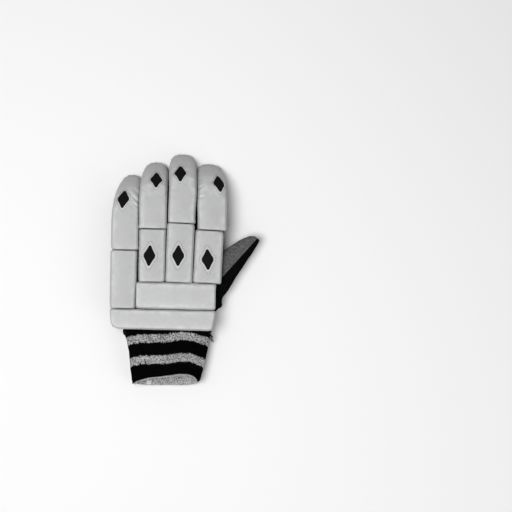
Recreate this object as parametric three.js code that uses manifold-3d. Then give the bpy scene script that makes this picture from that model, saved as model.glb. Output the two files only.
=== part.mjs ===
// A left-hand cricket batting glove lying palm down on a flat surface.
// Padded leather rolls cover the back of a hollow hand. The hand is leather below and mesh above,
// with a padded thumb, a knitted cuff and a wrist strap.
// Lengths are millimetres and angles are degrees.
// X runs from the little finger to the thumb, Y towards the fingertips, Z up from the surface.
import * as THREE from "three";
import { mergeVertices } from "three/addons/utils/BufferGeometryUtils.js";
import Module from "manifold-3d";

const wasm = await Module();
wasm.setup();

// Clearances and walls
const CLEARANCE = 0.3; // between pieces that are sewn to each other
const PALM_WALL = 1.5; // suede of the palm, mesh of the back
const KNIT_WALL = 2.4;
const LINING_WALL = 1.2;
const BAND_THICKNESS = 2.2; // wrist strap and pull loop

// The hollow hand
const HAND_DEPTH = 18.5; // outside, from palm to back
const PALM_LIFT = 12.5; // palm above the surface, where the thumb's pads lie under it
const ARCH = 4.5; // how far the back of the hand falls from its middle to its sides
const PALM_REACH = 53.5; // palm past the foot of the knuckle rolls, up to the gaps between the fingers
const STALL_INSET = 0.6; // a finger stall inside its tip roll, on the outer sides of the row
const STALL_GAP = 1.5; // between two neighbouring finger stalls
const STALL_ROOT = 6; // finger stalls start inside the palm
const STALL_STEP = 0.4; // and are that much thinner than it, above and below
const FINGER_SEAM = 1; // past the gaps between the fingers, where their pieces are sewn to the palm's
const WRIST_OVERLAP = 5.5; // wrist bar past the wrist seam
const MESH_SHARE = 0.62; // of the depth, from the back down, that is mesh
const MESH_BAND = 8; // mesh that shows on the palm along the little finger's side

// The rolls
const KNUCKLE_HEIGHT = 17;
const TIP_HEIGHT = 17.5;
const BAR_HEIGHT = 16.5;
const HAND_BAR_WIDTH = 31.4;
const WRIST_BAR_WIDTH = 23.4;
const SEAM_GAP = 1.4; // between two rolls that meet end to end
const BAR_LEAN = 1.3; // both bars fall towards the thumb
const HAND_BAR_OVERHANG = 3.6; // past the ring finger's roll
const BAR_INSET = 5.9; // bars short of the index finger's roll
const WRIST_BAR_OVERHANG = 1; // past the little finger's roll
const WRIST_BAR_CUT = [2, 4]; // its lower edge short of its upper edge, at either end
const PILLOW_END = 6; // rounding of a roll's end
const END_SHARE = { height: 0.72, tip: 0.93, knuckle: 0.94, bar: 0.9, pad: 0.86 }; // kept at its very end
const PAD_BEDDING = 1.2; // how far a thumb pad reaches into the thumb before it is fitted

// The bend of the fingertips, which rest on the surface
const BEND_RADIUS = 33; // of the line between stall and roll
const BEND_ANGLE = 52;
const TIP_CAP = 22; // rounding of the fingertip
const CAP_SHARE = { width: 0.3, height: 0.5 }; // kept at its very end
const SLOPE_START = 0.4; // share of a tip roll's length from which its sides fall in
const TIP_TUCK = 9; // a tip roll's end below the surface, before it is flattened on it
const STALL_CAP = 11;
const STALL_SETBACK = 15; // stall's tip short of where its line meets the surface

// Rolls from the little finger to the index. gap is to the roll before it. foot is the knuckle roll's
// width at its foot, as a share. lean turns the finger towards the thumb; shift and sway set its tip
// towards the thumb and turn it back again.
// little and thumb are shares of the tip roll's width that its two sides fall in by at the fingertip.
const FINGERS = [
  {
    name: "little", gap: 0, knuckle: 70, knuckleWidth: 31.5, foot: 0.95, lean: 0.85,
    tip: 90.8, tipWidth: 32.9, shift: 0.7, sway: 0, little: 0.3, thumb: -0.02,
  },
  {
    name: "ring", gap: 3, knuckle: 63.4, knuckleWidth: 31.3, foot: 0.985, lean: 0.7,
    tip: 80.2, tipWidth: 33.6, shift: 0.2, sway: 0, little: 0.14, thumb: 0.02,
  },
  {
    name: "middle", gap: 0.4, knuckle: 71, knuckleWidth: 31.9, foot: 1, lean: 2.4,
    tip: 83.2, tipWidth: 32.5, shift: 0.5, sway: 0.4, little: 0, thumb: 0.06,
  },
  {
    name: "index", gap: 1.35, knuckle: 63.2, knuckleWidth: 33, foot: 1, lean: 3.1,
    tip: 79.7, tipWidth: 34.6, shift: 3, sway: 2.6, little: 0, thumb: 0.08,
  },
];

// Lozenge inlays. back is from the roll's far end, across from its middle line, turn about its face.
const LOZENGE = { width: 14.3, length: 25, blunt: 0.14, sink: 0.7, floor: 5.5 };
const TIP_INLAYS = {
  little: { back: 28.5, across: -2.3, turn: -8 },
  ring: { back: 20, across: 3.2, turn: -8 },
  middle: { back: 22, across: -3.3, turn: 1 },
  index: { back: 21.5, across: 7.8, turn: 9 },
};
const KNUCKLE_INLAYS = {
  ring: { back: 32, across: -2.8, turn: 1 },
  middle: { back: 38.8, across: -1.7, turn: 0 },
  index: { back: 34.9, across: -1.2, turn: 1 },
};

// The palm's outline, from the wrist seam to the gaps between the fingers. along is a share of the
// palm's length, little and thumb are shares of the row of rolls' width taken off each side, lift is a
// share of PALM_LIFT.
const PALM_SECTIONS = [
  { along: 0, little: 0.1, thumb: 0.086, lift: 0.2 },
  { along: 0.09, little: 0.055, thumb: 0.078, lift: 0.52 },
  { along: 0.19, little: 0.028, thumb: 0.068, lift: 0.86 },
  { along: 0.32, little: 0.018, thumb: 0.055, lift: 1 },
  { along: 0.55, little: 0.014, thumb: 0.032, lift: 1 },
  { along: 0.78, little: 0.012, thumb: 0.01, lift: 1 },
  { along: 1, little: 0.012, thumb: 0, lift: 1 },
];

// The thumb lies beside the palm, on its own pads. Its root is at shares of the row's width and of the
// palm's length. Its outline is given from the tip: along is a share of its length, inner and outer are
// shares of its width on the finger and the wrist side, depth of its depth.
const THUMB = { length: 104, width: 44, depth: 15, turn: 42, rootAcross: 0.828, rootAlong: 0.276, wrap: 4.5 };
const THUMB_SECTIONS = [
  { along: 0.012, inner: 0.084, outer: 0.084, depth: 0.4 },
  { along: 0.047, inner: 0.193, outer: 0.111, depth: 0.64 },
  { along: 0.106, inner: 0.268, outer: 0.139, depth: 0.82 },
  { along: 0.188, inner: 0.35, outer: 0.173, depth: 0.93 },
  { along: 0.293, inner: 0.414, outer: 0.198, depth: 1 },
  { along: 0.4, inner: 0.47, outer: 0.243, depth: 1 },
  { along: 0.53, inner: 0.545, outer: 0.289, depth: 1 },
  { along: 0.683, inner: 0.59, outer: 0.364, depth: 0.97 },
  { along: 0.808, inner: 0.614, outer: 0.386, depth: 0.94 },
  { along: 0.885, inner: 0.614, outer: 0.5, depth: 0.9 },
  { along: 1, inner: 0.59, outer: 0.5, depth: 0.86 },
];
const THUMB_PADS = [
  { name: "thumb_tip_pad", from: 0.035, to: 0.6, lozenge: 0.3 },
  { name: "thumb_base_pad", from: 0.614, to: 1.19 },
];
const PAD_INSET = 1.8; // thumb pads inside the thumb's outline

// The cuff, from the wrist seam to its mouth. along is a share of its length, left and right are shares
// of its width at the seam taken off each side, height of its height. Its mouth slants towards the back.
const CUFF = { length: 73.5, height: 29.5, slant: 13.5 };
const CUFF_SECTIONS = [
  { along: 0, left: 0, right: 0, height: 0.966 },
  { along: 0.15, left: 0.018, right: 0, height: 0.97 },
  { along: 0.3, left: 0.052, right: 0.014, height: 0.97 },
  { along: 0.5, left: 0.071, right: 0.044, height: 0.96 },
  { along: 0.75, left: 0.09, right: 0.078, height: 0.975 },
  { along: 1, left: 0.115, right: 0.13, height: 1 },
];
const LINING_RIM = 2.5; // lining past the knit at the mouth

const STRAP = { width: 60, below: 3.5, reach: 0.745, corner: 16, climb: 5.5 };
const LOOP = { band: 5, hole: 2.8, length: 28, inset: 8.5, climb: 16 };

// Vent holes in the palm, as shares of the row's width and of the palm's length.
const VENT_RADIUS = 1.1;
const VENTS = [
  { across: 0.26, along: 0.7 },
  { across: 0.447, along: 0.668 },
  { across: 0.308, along: 0.583 },
  { across: 0.384, along: 0.553 },
];

// How finely each form is cut into flat faces
const FACETS = { roll: 14, hand: 20, stall: 10, thumb: 12, cuff: 20, bend: 3, vent: 6 };

const FINISHES = {
  leather: { color: 0xbcbcbf, roughness: 0.5, metalness: 0 },
  inlay: { color: 0x17191a, roughness: 0.45, metalness: 0 },
  suede: { color: 0x7d7d7e, roughness: 0.95, metalness: 0 },
  mesh: { color: 0x101112, roughness: 0.9, metalness: 0 },
  knit: { color: 0x2a2b2b, roughness: 0.95, metalness: 0 },
  lining: { color: 0x989896, roughness: 0.95, metalness: 0 },
};

const radians = THREE.MathUtils.degToRad;
const lerp = THREE.MathUtils.lerp;
const sum = (values) => values.reduce((total, value) => total + value, 0);

// Places that follow from the sizes. They start from the outer corner of the little finger's knuckle
// roll and the wrist bar, on the surface.
FINGERS.forEach((finger, i) => {
  const before = FINGERS.slice(0, i);
  finger.x = sum(before.map((f) => f.gap + f.knuckleWidth)) + finger.gap + finger.knuckleWidth / 2;
});
const [LITTLE, RING, , INDEX] = FINGERS;
const ROW_WIDTH = INDEX.x + INDEX.knuckleWidth / 2;
const BACK = PALM_LIFT + HAND_DEPTH; // top of the hollow hand at its middle

const HAND_BAR = {
  name: "hand_bar", width: HAND_BAR_WIDTH, foot: WRIST_BAR_WIDTH + SEAM_GAP, cut: [0, 0],
  from: RING.x - RING.knuckleWidth / 2 - HAND_BAR_OVERHANG, to: ROW_WIDTH - BAR_INSET,
};
const WRIST_BAR = {
  name: "wrist_bar", width: WRIST_BAR_WIDTH, foot: 0, cut: WRIST_BAR_CUT,
  from: -WRIST_BAR_OVERHANG, to: ROW_WIDTH - BAR_INSET,
};

// Each finger starts a seam's gap beyond the bar below it.
FINGERS.forEach((finger) => {
  const bar = finger === LITTLE ? WRIST_BAR : HAND_BAR;
  const rise = ((bar.from + bar.to) / 2 - finger.x) * Math.tan(radians(BAR_LEAN));
  finger.footY = bar.foot + bar.width + SEAM_GAP + rise;
});
const KNUCKLE_FOOT = HAND_BAR.foot + HAND_BAR_WIDTH + SEAM_GAP;
const PALM_LENGTH = KNUCKLE_FOOT + PALM_REACH - WRIST_OVERLAP;
const MESH_SEAM = BACK - HAND_DEPTH * MESH_SHARE;
const CUFF_LIFT = BAND_THICKNESS + CLEARANCE;
const SEAM_LEFT = ROW_WIDTH * PALM_SECTIONS[0].little;
const SEAM_SPAN = ROW_WIDTH * (1 - PALM_SECTIONS[0].thumb) - SEAM_LEFT;

function archDrop(x) {
  return ARCH * (x / (ROW_WIDTH / 2) - 1) ** 2;
}

function archTilt(x) {
  return Math.atan((4 * ARCH * (x / (ROW_WIDTH / 2) - 1)) / ROW_WIDTH);
}

// A closed ring of points about a rounded box, which it touches on all four sides. Its widest level is
// at `waist`, and the powers square off its upper and lower half.
function ringPoints(sides, { left, right, bottom, top, waist = 0.5, crown = 3, base = 3 }) {
  const curve = Array.from({ length: sides }, (_, k) => {
    const angle = (2 * Math.PI * (k + 0.5)) / sides;
    const [c, s] = [Math.cos(angle), Math.sin(angle)];
    const power = 2 / (s > 0 ? crown : base);
    return { x: Math.sign(c) * Math.abs(c) ** power, z: Math.sign(s) * Math.abs(s) ** power };
  });
  const [widest, highest, lowest] = [
    Math.max(...curve.map((p) => p.x)), Math.max(...curve.map((p) => p.z)), -Math.min(...curve.map((p) => p.z)),
  ];
  const level = lerp(bottom, top, waist);
  return curve.map((p) => ({
    x: (left + right) / 2 + ((right - left) / 2) * (p.x / widest),
    z: level + (p.z > 0 ? ((top - level) * p.z) / highest : ((level - bottom) * p.z) / lowest),
  }));
}

function signedVolume(points, index) {
  let volume = 0;
  for (let i = 0; i < index.length; i += 3) {
    const [a, b, c] = [points[index[i]], points[index[i + 1]], points[index[i + 2]]];
    volume += a.dot(new THREE.Vector3().crossVectors(b, c)) / 6;
  }
  return volume;
}

// Skins a row of rings, closes both ends and turns the faces outwards.
function loft(rings) {
  const sides = rings[0].length;
  const points = rings.flat();
  const index = [];
  for (let r = 0; r < rings.length - 1; r++) {
    for (let k = 0; k < sides; k++) {
      const [a, b] = [r * sides + k, r * sides + ((k + 1) % sides)];
      index.push(a, b, b + sides, a, b + sides, a + sides);
    }
  }
  const close = (ring, start, flip) => {
    const centre = ring.reduce((total, p) => total.add(p), new THREE.Vector3()).divideScalar(sides);
    const apex = points.push(centre) - 1;
    for (let k = 0; k < sides; k++) {
      const [a, b] = [start + k, start + ((k + 1) % sides)];
      index.push(...(flip ? [b, a, apex] : [a, b, apex]));
    }
  };
  close(rings[0], 0, true);
  close(rings.at(-1), (rings.length - 1) * sides, false);
  if (signedVolume(points, index) < 0) index.reverse();
  return new THREE.BufferGeometry().setFromPoints(points).setIndex(index);
}

function solidOf(geometry) {
  const bare = geometry.clone();
  bare.deleteAttribute("normal");
  bare.deleteAttribute("uv");
  const merged = mergeVertices(bare, 1e-4);
  return new wasm.Manifold(
    new wasm.Mesh({
      numProp: 3,
      vertProperties: new Float32Array(merged.attributes.position.array),
      triVerts: new Uint32Array(merged.index.array),
    }),
  );
}

function geometryOf(solid) {
  const { vertProperties, triVerts } = solid.getMesh();
  return new THREE.BufferGeometry()
    .setAttribute("position", new THREE.BufferAttribute(vertProperties, 3))
    .setIndex(new THREE.BufferAttribute(triVerts, 1));
}

const solidLoft = (rings) => solidOf(loft(rings));
const union = (solids) => solids.reduce((total, solid) => total.add(solid));

// The main body of a solid, without slivers left by cutting.
function mainBody(solid) {
  return solid.decompose().reduce((a, b) => (b.volume() > a.volume() ? b : a));
}

function prism(outline, bottom, top) {
  const points = outline.map(([x, y]) => new THREE.Vector2(x, y));
  const geometry = new THREE.ExtrudeGeometry(new THREE.Shape(points), {
    depth: top - bottom, bevelEnabled: false,
  });
  return geometry.translate(0, 0, bottom);
}

// How a pillow fades over its last stretch: 1 inside, falling round to `least` at the end.
function fade(distance, stretch, least, power) {
  if (distance >= stretch) return 1;
  const t = 1 - Math.max(distance, 0) / stretch;
  return least + (1 - least) * (1 - t ** power) ** (1 / power);
}

// What a roll with two equal ends keeps of its width and of its height.
function ends(s, length, width) {
  return [
    fade(s, PILLOW_END, width, 2) * fade(length - s, PILLOW_END, width, 2),
    fade(s, PILLOW_END, END_SHARE.height, 2.2) * fade(length - s, PILLOW_END, END_SHARE.height, 2.2),
  ];
}

// Distances along a pillow at which it has its rings: close together over both round ends.
function stations(length, startRound, endRound, between) {
  const start = [0, 0.12, 0.42, 1].map((t) => t * startRound);
  const end = [1, 0.42, 0.12, 0].map((t) => length - t * endRound);
  return [...start, ...between.filter((s) => s > startRound + 1 && s < length - endRound - 1), ...end];
}

function evenly(length, count) {
  return Array.from({ length: count }, (_, i) => (length * (i + 1)) / (count + 1));
}

// How far a finger's tip is set aside from its knuckle, at a distance from the knuckle roll's foot.
function sideways(finger, s) {
  const past = Math.max(0, s - finger.knuckle - SEAM_GAP);
  return finger.shift * THREE.MathUtils.clamp((2 * s) / finger.knuckle - 1, 0, 1)
    - past * Math.tan(radians(finger.sway));
}

// A finger's line between its stall and its rolls, in the finger's own frame: straight along Y, then
// bent down. Gives the point and the slope at a distance from the knuckle roll's foot.
function fingerLine(finger, s) {
  const x = sideways(finger, s);
  const past = Math.max(0, s - finger.straight);
  const angle = Math.min(past / BEND_RADIUS, radians(BEND_ANGLE));
  const rest = past - BEND_RADIUS * angle;
  return {
    x,
    y: s - past + BEND_RADIUS * Math.sin(angle) + rest * Math.cos(angle),
    z: -BEND_RADIUS * (1 - Math.cos(angle)) - rest * Math.sin(angle),
    angle,
  };
}

function bendStations(finger) {
  return Array.from({ length: FACETS.bend + 1 }, (_, i) => {
    return finger.straight + (BEND_RADIUS * radians(BEND_ANGLE) * i) / FACETS.bend;
  });
}

// Stands a section off a finger's line.
function onLine(finger, s, section) {
  const { x, y, z, angle } = fingerLine(finger, s);
  const [rise, run] = [Math.cos(angle), Math.sin(angle)];
  return section.map((p) => new THREE.Vector3(x + p.x, y + p.z * run, z + p.z * rise));
}

function tipRings(finger, height) {
  const start = finger.knuckle + SEAM_GAP;
  const length = finger.end - start;
  return stations(length, PILLOW_END, TIP_CAP, bendStations(finger).map((s) => s - start)).map((s) => {
    const narrowing = fade(s, PILLOW_END, END_SHARE.tip, 2) * fade(length - s, TIP_CAP, CAP_SHARE.width, 2.3);
    const half = (finger.tipWidth / 2) * narrowing;
    const slope = 2 * half * Math.max(0, (s / length - SLOPE_START) / (1 - SLOPE_START)) ** 1.3;
    const rise = fade(s, PILLOW_END, END_SHARE.height, 2.2) * fade(length - s, TIP_CAP, CAP_SHARE.height, 2.1);
    return onLine(finger, start + s, ringPoints(FACETS.roll, {
      left: -half + slope * finger.little, right: half - slope * finger.thumb,
      bottom: 0, top: height * rise,
      waist: 0.4, crown: 2.7, base: 5,
    }));
  });
}

// The lengths along each finger's line, so that it meets the surface and its tip roll is as long, seen
// from above, as it is given.
FINGERS.forEach((finger) => {
  const bend = radians(BEND_ANGLE);
  const drop = BACK + CLEARANCE - archDrop(finger.x);
  const rest = (drop - BEND_RADIUS * (1 - Math.cos(bend))) / Math.sin(bend);
  const start = finger.knuckle + SEAM_GAP;
  finger.straight = start;
  finger.landing = start + BEND_RADIUS * bend + rest;
  finger.end = finger.landing + TIP_TUCK / Math.sin(bend);
  const tips = tipRings(finger, TIP_HEIGHT).flat().filter((p) => p.z > -drop);
  const extra = finger.tip + start - Math.max(...tips.map((p) => p.y));
  finger.straight += extra;
  finger.landing += extra;
  finger.end += extra;
});

function knuckleRings(finger, height) {
  const length = finger.knuckle;
  return stations(length, PILLOW_END, PILLOW_END, evenly(length, 1)).map((s) => {
    const [width, rise] = ends(s, length, END_SHARE.knuckle);
    const half = (finger.knuckleWidth / 2) * width;
    return ringPoints(FACETS.roll, {
      left: -half, right: half * lerp(2 * finger.foot - 1, 1, s / length), bottom: 0, top: height * rise,
      waist: 0.4, crown: 3, base: 5,
    }).map((p) => new THREE.Vector3(p.x, s, p.z));
  });
}

// A roll across the hand follows the arch of the back. Its own frame has X along it.
function barRings(bar) {
  const length = bar.to - bar.from;
  return stations(length, PILLOW_END, PILLOW_END, evenly(length, 5)).map((s) => {
    const [width, rise] = ends(s, length, END_SHARE.bar);
    const half = (bar.width / 2) * width;
    const fall = archDrop(bar.from + s) - archDrop((bar.from + bar.to) / 2);
    const cut = lerp(bar.cut[0], -bar.cut[1], s / length);
    return ringPoints(FACETS.roll, {
      left: -half, right: half, bottom: 0, top: BAR_HEIGHT * rise, waist: 0.4, crown: 3, base: 5,
    }).map((p) => new THREE.Vector3(s - length / 2 + cut * (0.5 - p.x / bar.width), p.x, p.z - fall));
  });
}

// The line's place across the row at a distance along it.
function acrossAt(finger, y) {
  const past = y - finger.footY;
  return finger.x + past * Math.tan(radians(finger.lean)) + sideways(finger, past);
}

// A finger stall's half width towards a neighbour reaches half way to it, less the gap between them.
function stallHalf(finger, neighbour, s) {
  if (!neighbour) return finger.tipWidth / 2 - STALL_INSET;
  const y = finger.footY + fingerLine(finger, s).y;
  const between = Math.abs(acrossAt(neighbour, y) - acrossAt(finger, y));
  return (between * finger.tipWidth) / (finger.tipWidth + neighbour.tipWidth) - STALL_GAP / 2;
}

function stallRings(finger, grow) {
  const [before, after] = [-1, 1].map((step) => FINGERS[FINGERS.indexOf(finger) + step]);
  const start = KNUCKLE_FOOT + PALM_REACH - STALL_ROOT - finger.footY;
  const end = finger.landing - STALL_SETBACK + grow;
  const bends = bendStations(finger).filter((s) => s < end - STALL_CAP - 1);
  const cap = [1, 0.45, 0.15, 0].map((t) => end - t * STALL_CAP);
  return [start, ...bends, ...cap].map((s) => {
    const share = fade(end - s, STALL_CAP, 0.35, 2.2);
    const thinner = HAND_DEPTH * (1 - share);
    const depth = HAND_DEPTH - archDrop(finger.x) - STALL_STEP;
    return onLine(finger, s, ringPoints(FACETS.stall, {
      left: -stallHalf(finger, before, s) * share - grow, right: stallHalf(finger, after, s) * share + grow,
      bottom: -CLEARANCE - depth + thinner * 0.45 - grow,
      top: -CLEARANCE - STALL_STEP - thinner * 0.2 + grow,
      crown: 3.4, base: 2.8,
    }));
  });
}

// The upper half of a section across the hand falls with the arch of the back.
function archedRing(sides, y, section) {
  const middle = (section.bottom + section.top) / 2;
  return ringPoints(sides, section).map((p) => {
    const upper = THREE.MathUtils.clamp((p.z - middle) / (section.top - middle), 0, 1);
    return new THREE.Vector3(p.x, y(p.z), p.z - archDrop(p.x) * upper);
  });
}

function palmRings(grow) {
  return PALM_SECTIONS.map(({ along, little, thumb, lift }, i) => {
    const shift = { 0: -Math.abs(grow), [PALM_SECTIONS.length - 1]: grow }[i] ?? 0;
    const y = WRIST_OVERLAP + along * PALM_LENGTH + shift;
    return archedRing(FACETS.hand, () => y, {
      left: ROW_WIDTH * little - grow, right: ROW_WIDTH * (1 - thumb) + grow,
      bottom: PALM_LIFT * lift - grow, top: BACK + grow, crown: 5, base: 3.4,
    });
  });
}

function cuffRings(grow, rim = 0) {
  return CUFF_SECTIONS.map(({ along, left, right, height }, i) => {
    const last = i === CUFF_SECTIONS.length - 1;
    const shift = { 0: Math.abs(grow), [CUFF_SECTIONS.length - 1]: -Math.abs(grow) }[i] ?? 0;
    const seam = WRIST_OVERLAP - CLEARANCE - along * CUFF.length;
    const slant = (z) => (CUFF.slant * along * (z - CUFF_LIFT)) / CUFF.height;
    return archedRing(FACETS.cuff, (z) => seam + slant(z) + (last && rim ? -rim : shift), {
      left: SEAM_LEFT + SEAM_SPAN * left - grow, right: SEAM_LEFT + SEAM_SPAN * (1 - right) + grow,
      bottom: CUFF_LIFT - grow, top: CUFF_LIFT + CUFF.height * height + grow, crown: 3.6, base: 4,
    });
  });
}

// The thumb's own frame: Y towards its tip, starting from the tip, X towards the wrist.
function thumbRings(grow) {
  return THUMB_SECTIONS.map(({ along, inner, outer, depth }, i) => {
    const middle = PALM_LIFT + THUMB.depth / 2;
    return ringPoints(FACETS.thumb, {
      left: -THUMB.width * inner - grow, right: THUMB.width * outer + grow,
      bottom: middle - (THUMB.depth / 2) * depth - grow, top: middle + (THUMB.depth / 2) * depth + grow,
      crown: 2.5, base: 3.2,
    }).map((p) => new THREE.Vector3(p.x, -along * THUMB.length + (i === 0 ? grow : 0), p.z));
  });
}

function thumbOutline(along) {
  const next = THUMB_SECTIONS.findIndex((section) => section.along > along);
  if (next <= 0) return THUMB_SECTIONS.at(next);
  const [a, b] = [THUMB_SECTIONS[next - 1], THUMB_SECTIONS[next]];
  const t = (along - a.along) / (b.along - a.along);
  return { inner: lerp(a.inner, b.inner, t), outer: lerp(a.outer, b.outer, t) };
}

function padRings(pad, sink) {
  const [from, to] = [pad.from * THUMB.length, pad.to * THUMB.length];
  return stations(to - from, PILLOW_END, PILLOW_END, evenly(to - from, 4)).map((s) => {
    const { inner, outer } = thumbOutline((from + s) / THUMB.length);
    const [width, rise] = ends(s, to - from, END_SHARE.pad);
    return ringPoints(FACETS.roll, {
      left: -(THUMB.width * inner - PAD_INSET) * width, right: (THUMB.width * outer - PAD_INSET) * width,
      bottom: PALM_LIFT * (1 - rise) + sink, top: PALM_LIFT + PAD_BEDDING, waist: 0.6, crown: 5, base: 3.4,
    }).map((p) => new THREE.Vector3(p.x, -from - s, p.z));
  });
}

// Frames of the assembly
const hand = new THREE.Group();
hand.name = "hand";

function frameAt(name, position, rotation, parent = hand) {
  const frame = new THREE.Group();
  frame.name = name;
  frame.position.set(...position);
  frame.rotation.set(...rotation, "ZYX");
  parent.add(frame);
  frame.updateMatrixWorld(true);
  return frame;
}

FINGERS.forEach((finger) => {
  const height = BACK + CLEARANCE - archDrop(finger.x);
  const rotation = [0, archTilt(finger.x), radians(-finger.lean)];
  finger.frame = frameAt(`${finger.name}_finger`, [finger.x, finger.footY, height], rotation);
});

const thumbRoot = [ROW_WIDTH * THUMB.rootAcross, WRIST_OVERLAP + PALM_LENGTH * THUMB.rootAlong];
const thumbReach = [Math.sin(radians(THUMB.turn)), Math.cos(radians(THUMB.turn))];
const thumbTip = thumbRoot.map((start, axis) => start + THUMB.length * thumbReach[axis]);
const thumbFrame = frameAt("thumb", [...thumbTip, 0], [0, 0, radians(-THUMB.turn)]);

function placed(geometry, frame) {
  return solidOf(geometry.clone().applyMatrix4(frame.matrixWorld));
}

function addPiece(name, finish, solid, frame = hand) {
  const geometry = geometryOf(mainBody(solid)).applyMatrix4(frame.matrixWorld.clone().invert()).toNonIndexed();
  geometry.computeVertexNormals();
  const mesh = new THREE.Mesh(geometry, new THREE.MeshStandardMaterial(FINISHES[finish]));
  mesh.name = name;
  frame.add(mesh);
}

// The hollow hand and the cuff, as solids grown or shrunk by one amount all over
const palmAndFingers = (grow) =>
  union([
    solidLoft(palmRings(grow)),
    ...FINGERS.map((finger) => placed(loft(stallRings(finger, grow)), finger.frame)),
  ]);
const thumb = (grow) => placed(loft(thumbRings(grow)), thumbFrame);
const cuff = (grow, rim) => solidLoft(cuffRings(grow, rim));
const everything = (grow) => union([palmAndFingers(grow), thumb(grow), cuff(grow)]);

const fitted = everything(CLEARANCE);
const halfFitted = everything(CLEARANCE / 2);

// Palm leather lies below this form, the mesh of the back above it. Along the little finger's side the
// mesh turns under.
function meshSeam(grow) {
  const far = HAND_DEPTH * 3;
  const blocks = FINGERS.map((finger) => {
    const wide = finger.tipWidth;
    const edge = finger === LITTLE ? -finger.tipWidth / 2 + MESH_BAND : -wide;
    const sides = { left: edge - grow, right: wide, bottom: -far, top: -CLEARANCE - HAND_DEPTH * MESH_SHARE };
    const corners = [
      { x: sides.left, z: sides.bottom }, { x: sides.right, z: sides.bottom },
      { x: sides.right, z: sides.top + grow }, { x: sides.left, z: sides.top + grow },
    ];
    const start = KNUCKLE_FOOT + PALM_REACH - finger.footY - PALM_WALL;
    const rows = [start, ...bendStations(finger), finger.end];
    return placed(loft(rows.map((s) => onLine(finger, s, corners))), finger.frame);
  });
  const [near, wide] = [-PALM_LENGTH, 2 * ROW_WIDTH];
  const outline = [
    [MESH_BAND - grow, near], [wide, near], [wide, WRIST_OVERLAP + PALM_LENGTH],
    [MESH_BAND - grow, WRIST_OVERLAP + PALM_LENGTH],
  ];
  return union([solidOf(prism(outline, -far, MESH_SEAM + grow)), ...blocks]);
}

// A skin of the hand is one piece up to the fingers' seam, and one for each finger past it.
function addSewn(palmName, finish, skin) {
  const seam = WRIST_OVERLAP + PALM_LENGTH + FINGER_SEAM;
  const past = (start) => {
    const outline = [
      [-ROW_WIDTH, start], [2 * ROW_WIDTH, start], [2 * ROW_WIDTH, 3 * PALM_LENGTH], [-ROW_WIDTH, 3 * PALM_LENGTH],
    ];
    return solidOf(prism(outline, -BACK, 2 * BACK));
  };
  addPiece(palmName, finish, skin.subtract(past(seam)));
  FINGERS.forEach((finger) => {
    const stall = placed(loft(stallRings(finger, CLEARANCE / 3)), finger.frame);
    const piece = skin.intersect(past(seam + CLEARANCE)).intersect(stall);
    addPiece(`${finger.name}_finger_${finish}`, finish, piece, finger.frame);
  });
}

const handShell = palmAndFingers(0).subtract(palmAndFingers(-PALM_WALL)).subtract(thumb(-PALM_WALL));
const vents = VENTS.map(({ across, along }) => {
  const ring = evenly(2 * Math.PI, FACETS.vent - 1).concat(0).map((angle) => [
    ROW_WIDTH * across + VENT_RADIUS * Math.cos(angle),
    WRIST_OVERLAP + PALM_LENGTH * along + VENT_RADIUS * Math.sin(angle),
  ]);
  return solidOf(prism(ring, 0, PALM_LIFT + 2 * PALM_WALL));
});
addSewn("palm_leather", "suede", handShell.intersect(meshSeam(0)).subtract(union(vents)));
addSewn("back_lining", "mesh", handShell.subtract(meshSeam(CLEARANCE)));

// Suede covers the thumb's upper side towards the fingers and mesh the rest of it.
const thumbShell = thumb(0).subtract(thumb(-PALM_WALL)).subtract(palmAndFingers(CLEARANCE));
function thumbSeam(grow) {
  const [tip, base, side] = [THUMB.width, -2 * THUMB.length, -2 * THUMB.width];
  const outline = [[side, base], [grow, base], [grow, tip], [side, tip]];
  return placed(prism(outline, PALM_LIFT + THUMB.wrap - grow, 2 * BACK), thumbFrame);
}
addPiece("thumb_suede", "suede", thumbShell.intersect(thumbSeam(0)), thumbFrame);
addPiece("thumb_gusset", "mesh", thumbShell.subtract(thumbSeam(CLEARANCE)), thumbFrame);

// A lozenge with sharp ends and blunted sides
function lozenge(grow) {
  const [w, h] = [LOZENGE.width / 2 + grow, LOZENGE.length / 2 + 1.8 * grow];
  const blunt = h * LOZENGE.blunt;
  return [[0, h], [-w, blunt], [-w, -blunt], [0, -h], [w, -blunt], [w, blunt]];
}

// The recess for an inlay, and the block it is cut from, on a face that stands off a finger's line.
function inlayBlocks(finger, s, height, { across, turn }) {
  const { x, y, z, angle } = fingerLine(finger, s);
  return [CLEARANCE, 0].map((grow) => {
    const block = prism(lozenge(grow), height - LOZENGE.floor - grow, height + LOZENGE.floor);
    block.rotateZ(radians(turn)).translate(across, 0, 0).rotateX(-angle).translate(x, y, z);
    return placed(block, finger.frame);
  });
}

function addInlaidRoll(name, frame, roll, lowered, [recess, core]) {
  addPiece(name, "leather", roll.subtract(recess), frame);
  addPiece(`${name.replace(/_(roll|pad)$/, "")}_lozenge`, "inlay", lowered.intersect(core), frame);
}

// A fingertip is flattened on the surface.
function aboveSurface(solid) {
  const wide = 2 * PALM_LENGTH + 2 * ROW_WIDTH;
  return solid.intersect(solidOf(prism([[-wide, -wide], [wide, -wide], [wide, wide], [-wide, wide]], 0, wide)));
}

// The distance along a finger's line whose roll face lies `back` short of the fingertip, from above.
function faceAt(finger, back) {
  const target = finger.knuckle + SEAM_GAP + finger.tip - back;
  const seen = (s) => fingerLine(finger, s).y + TIP_HEIGHT * Math.sin(fingerLine(finger, s).angle);
  let s = finger.straight;
  while (seen(s) < target) s += 0.1;
  return s;
}

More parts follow.
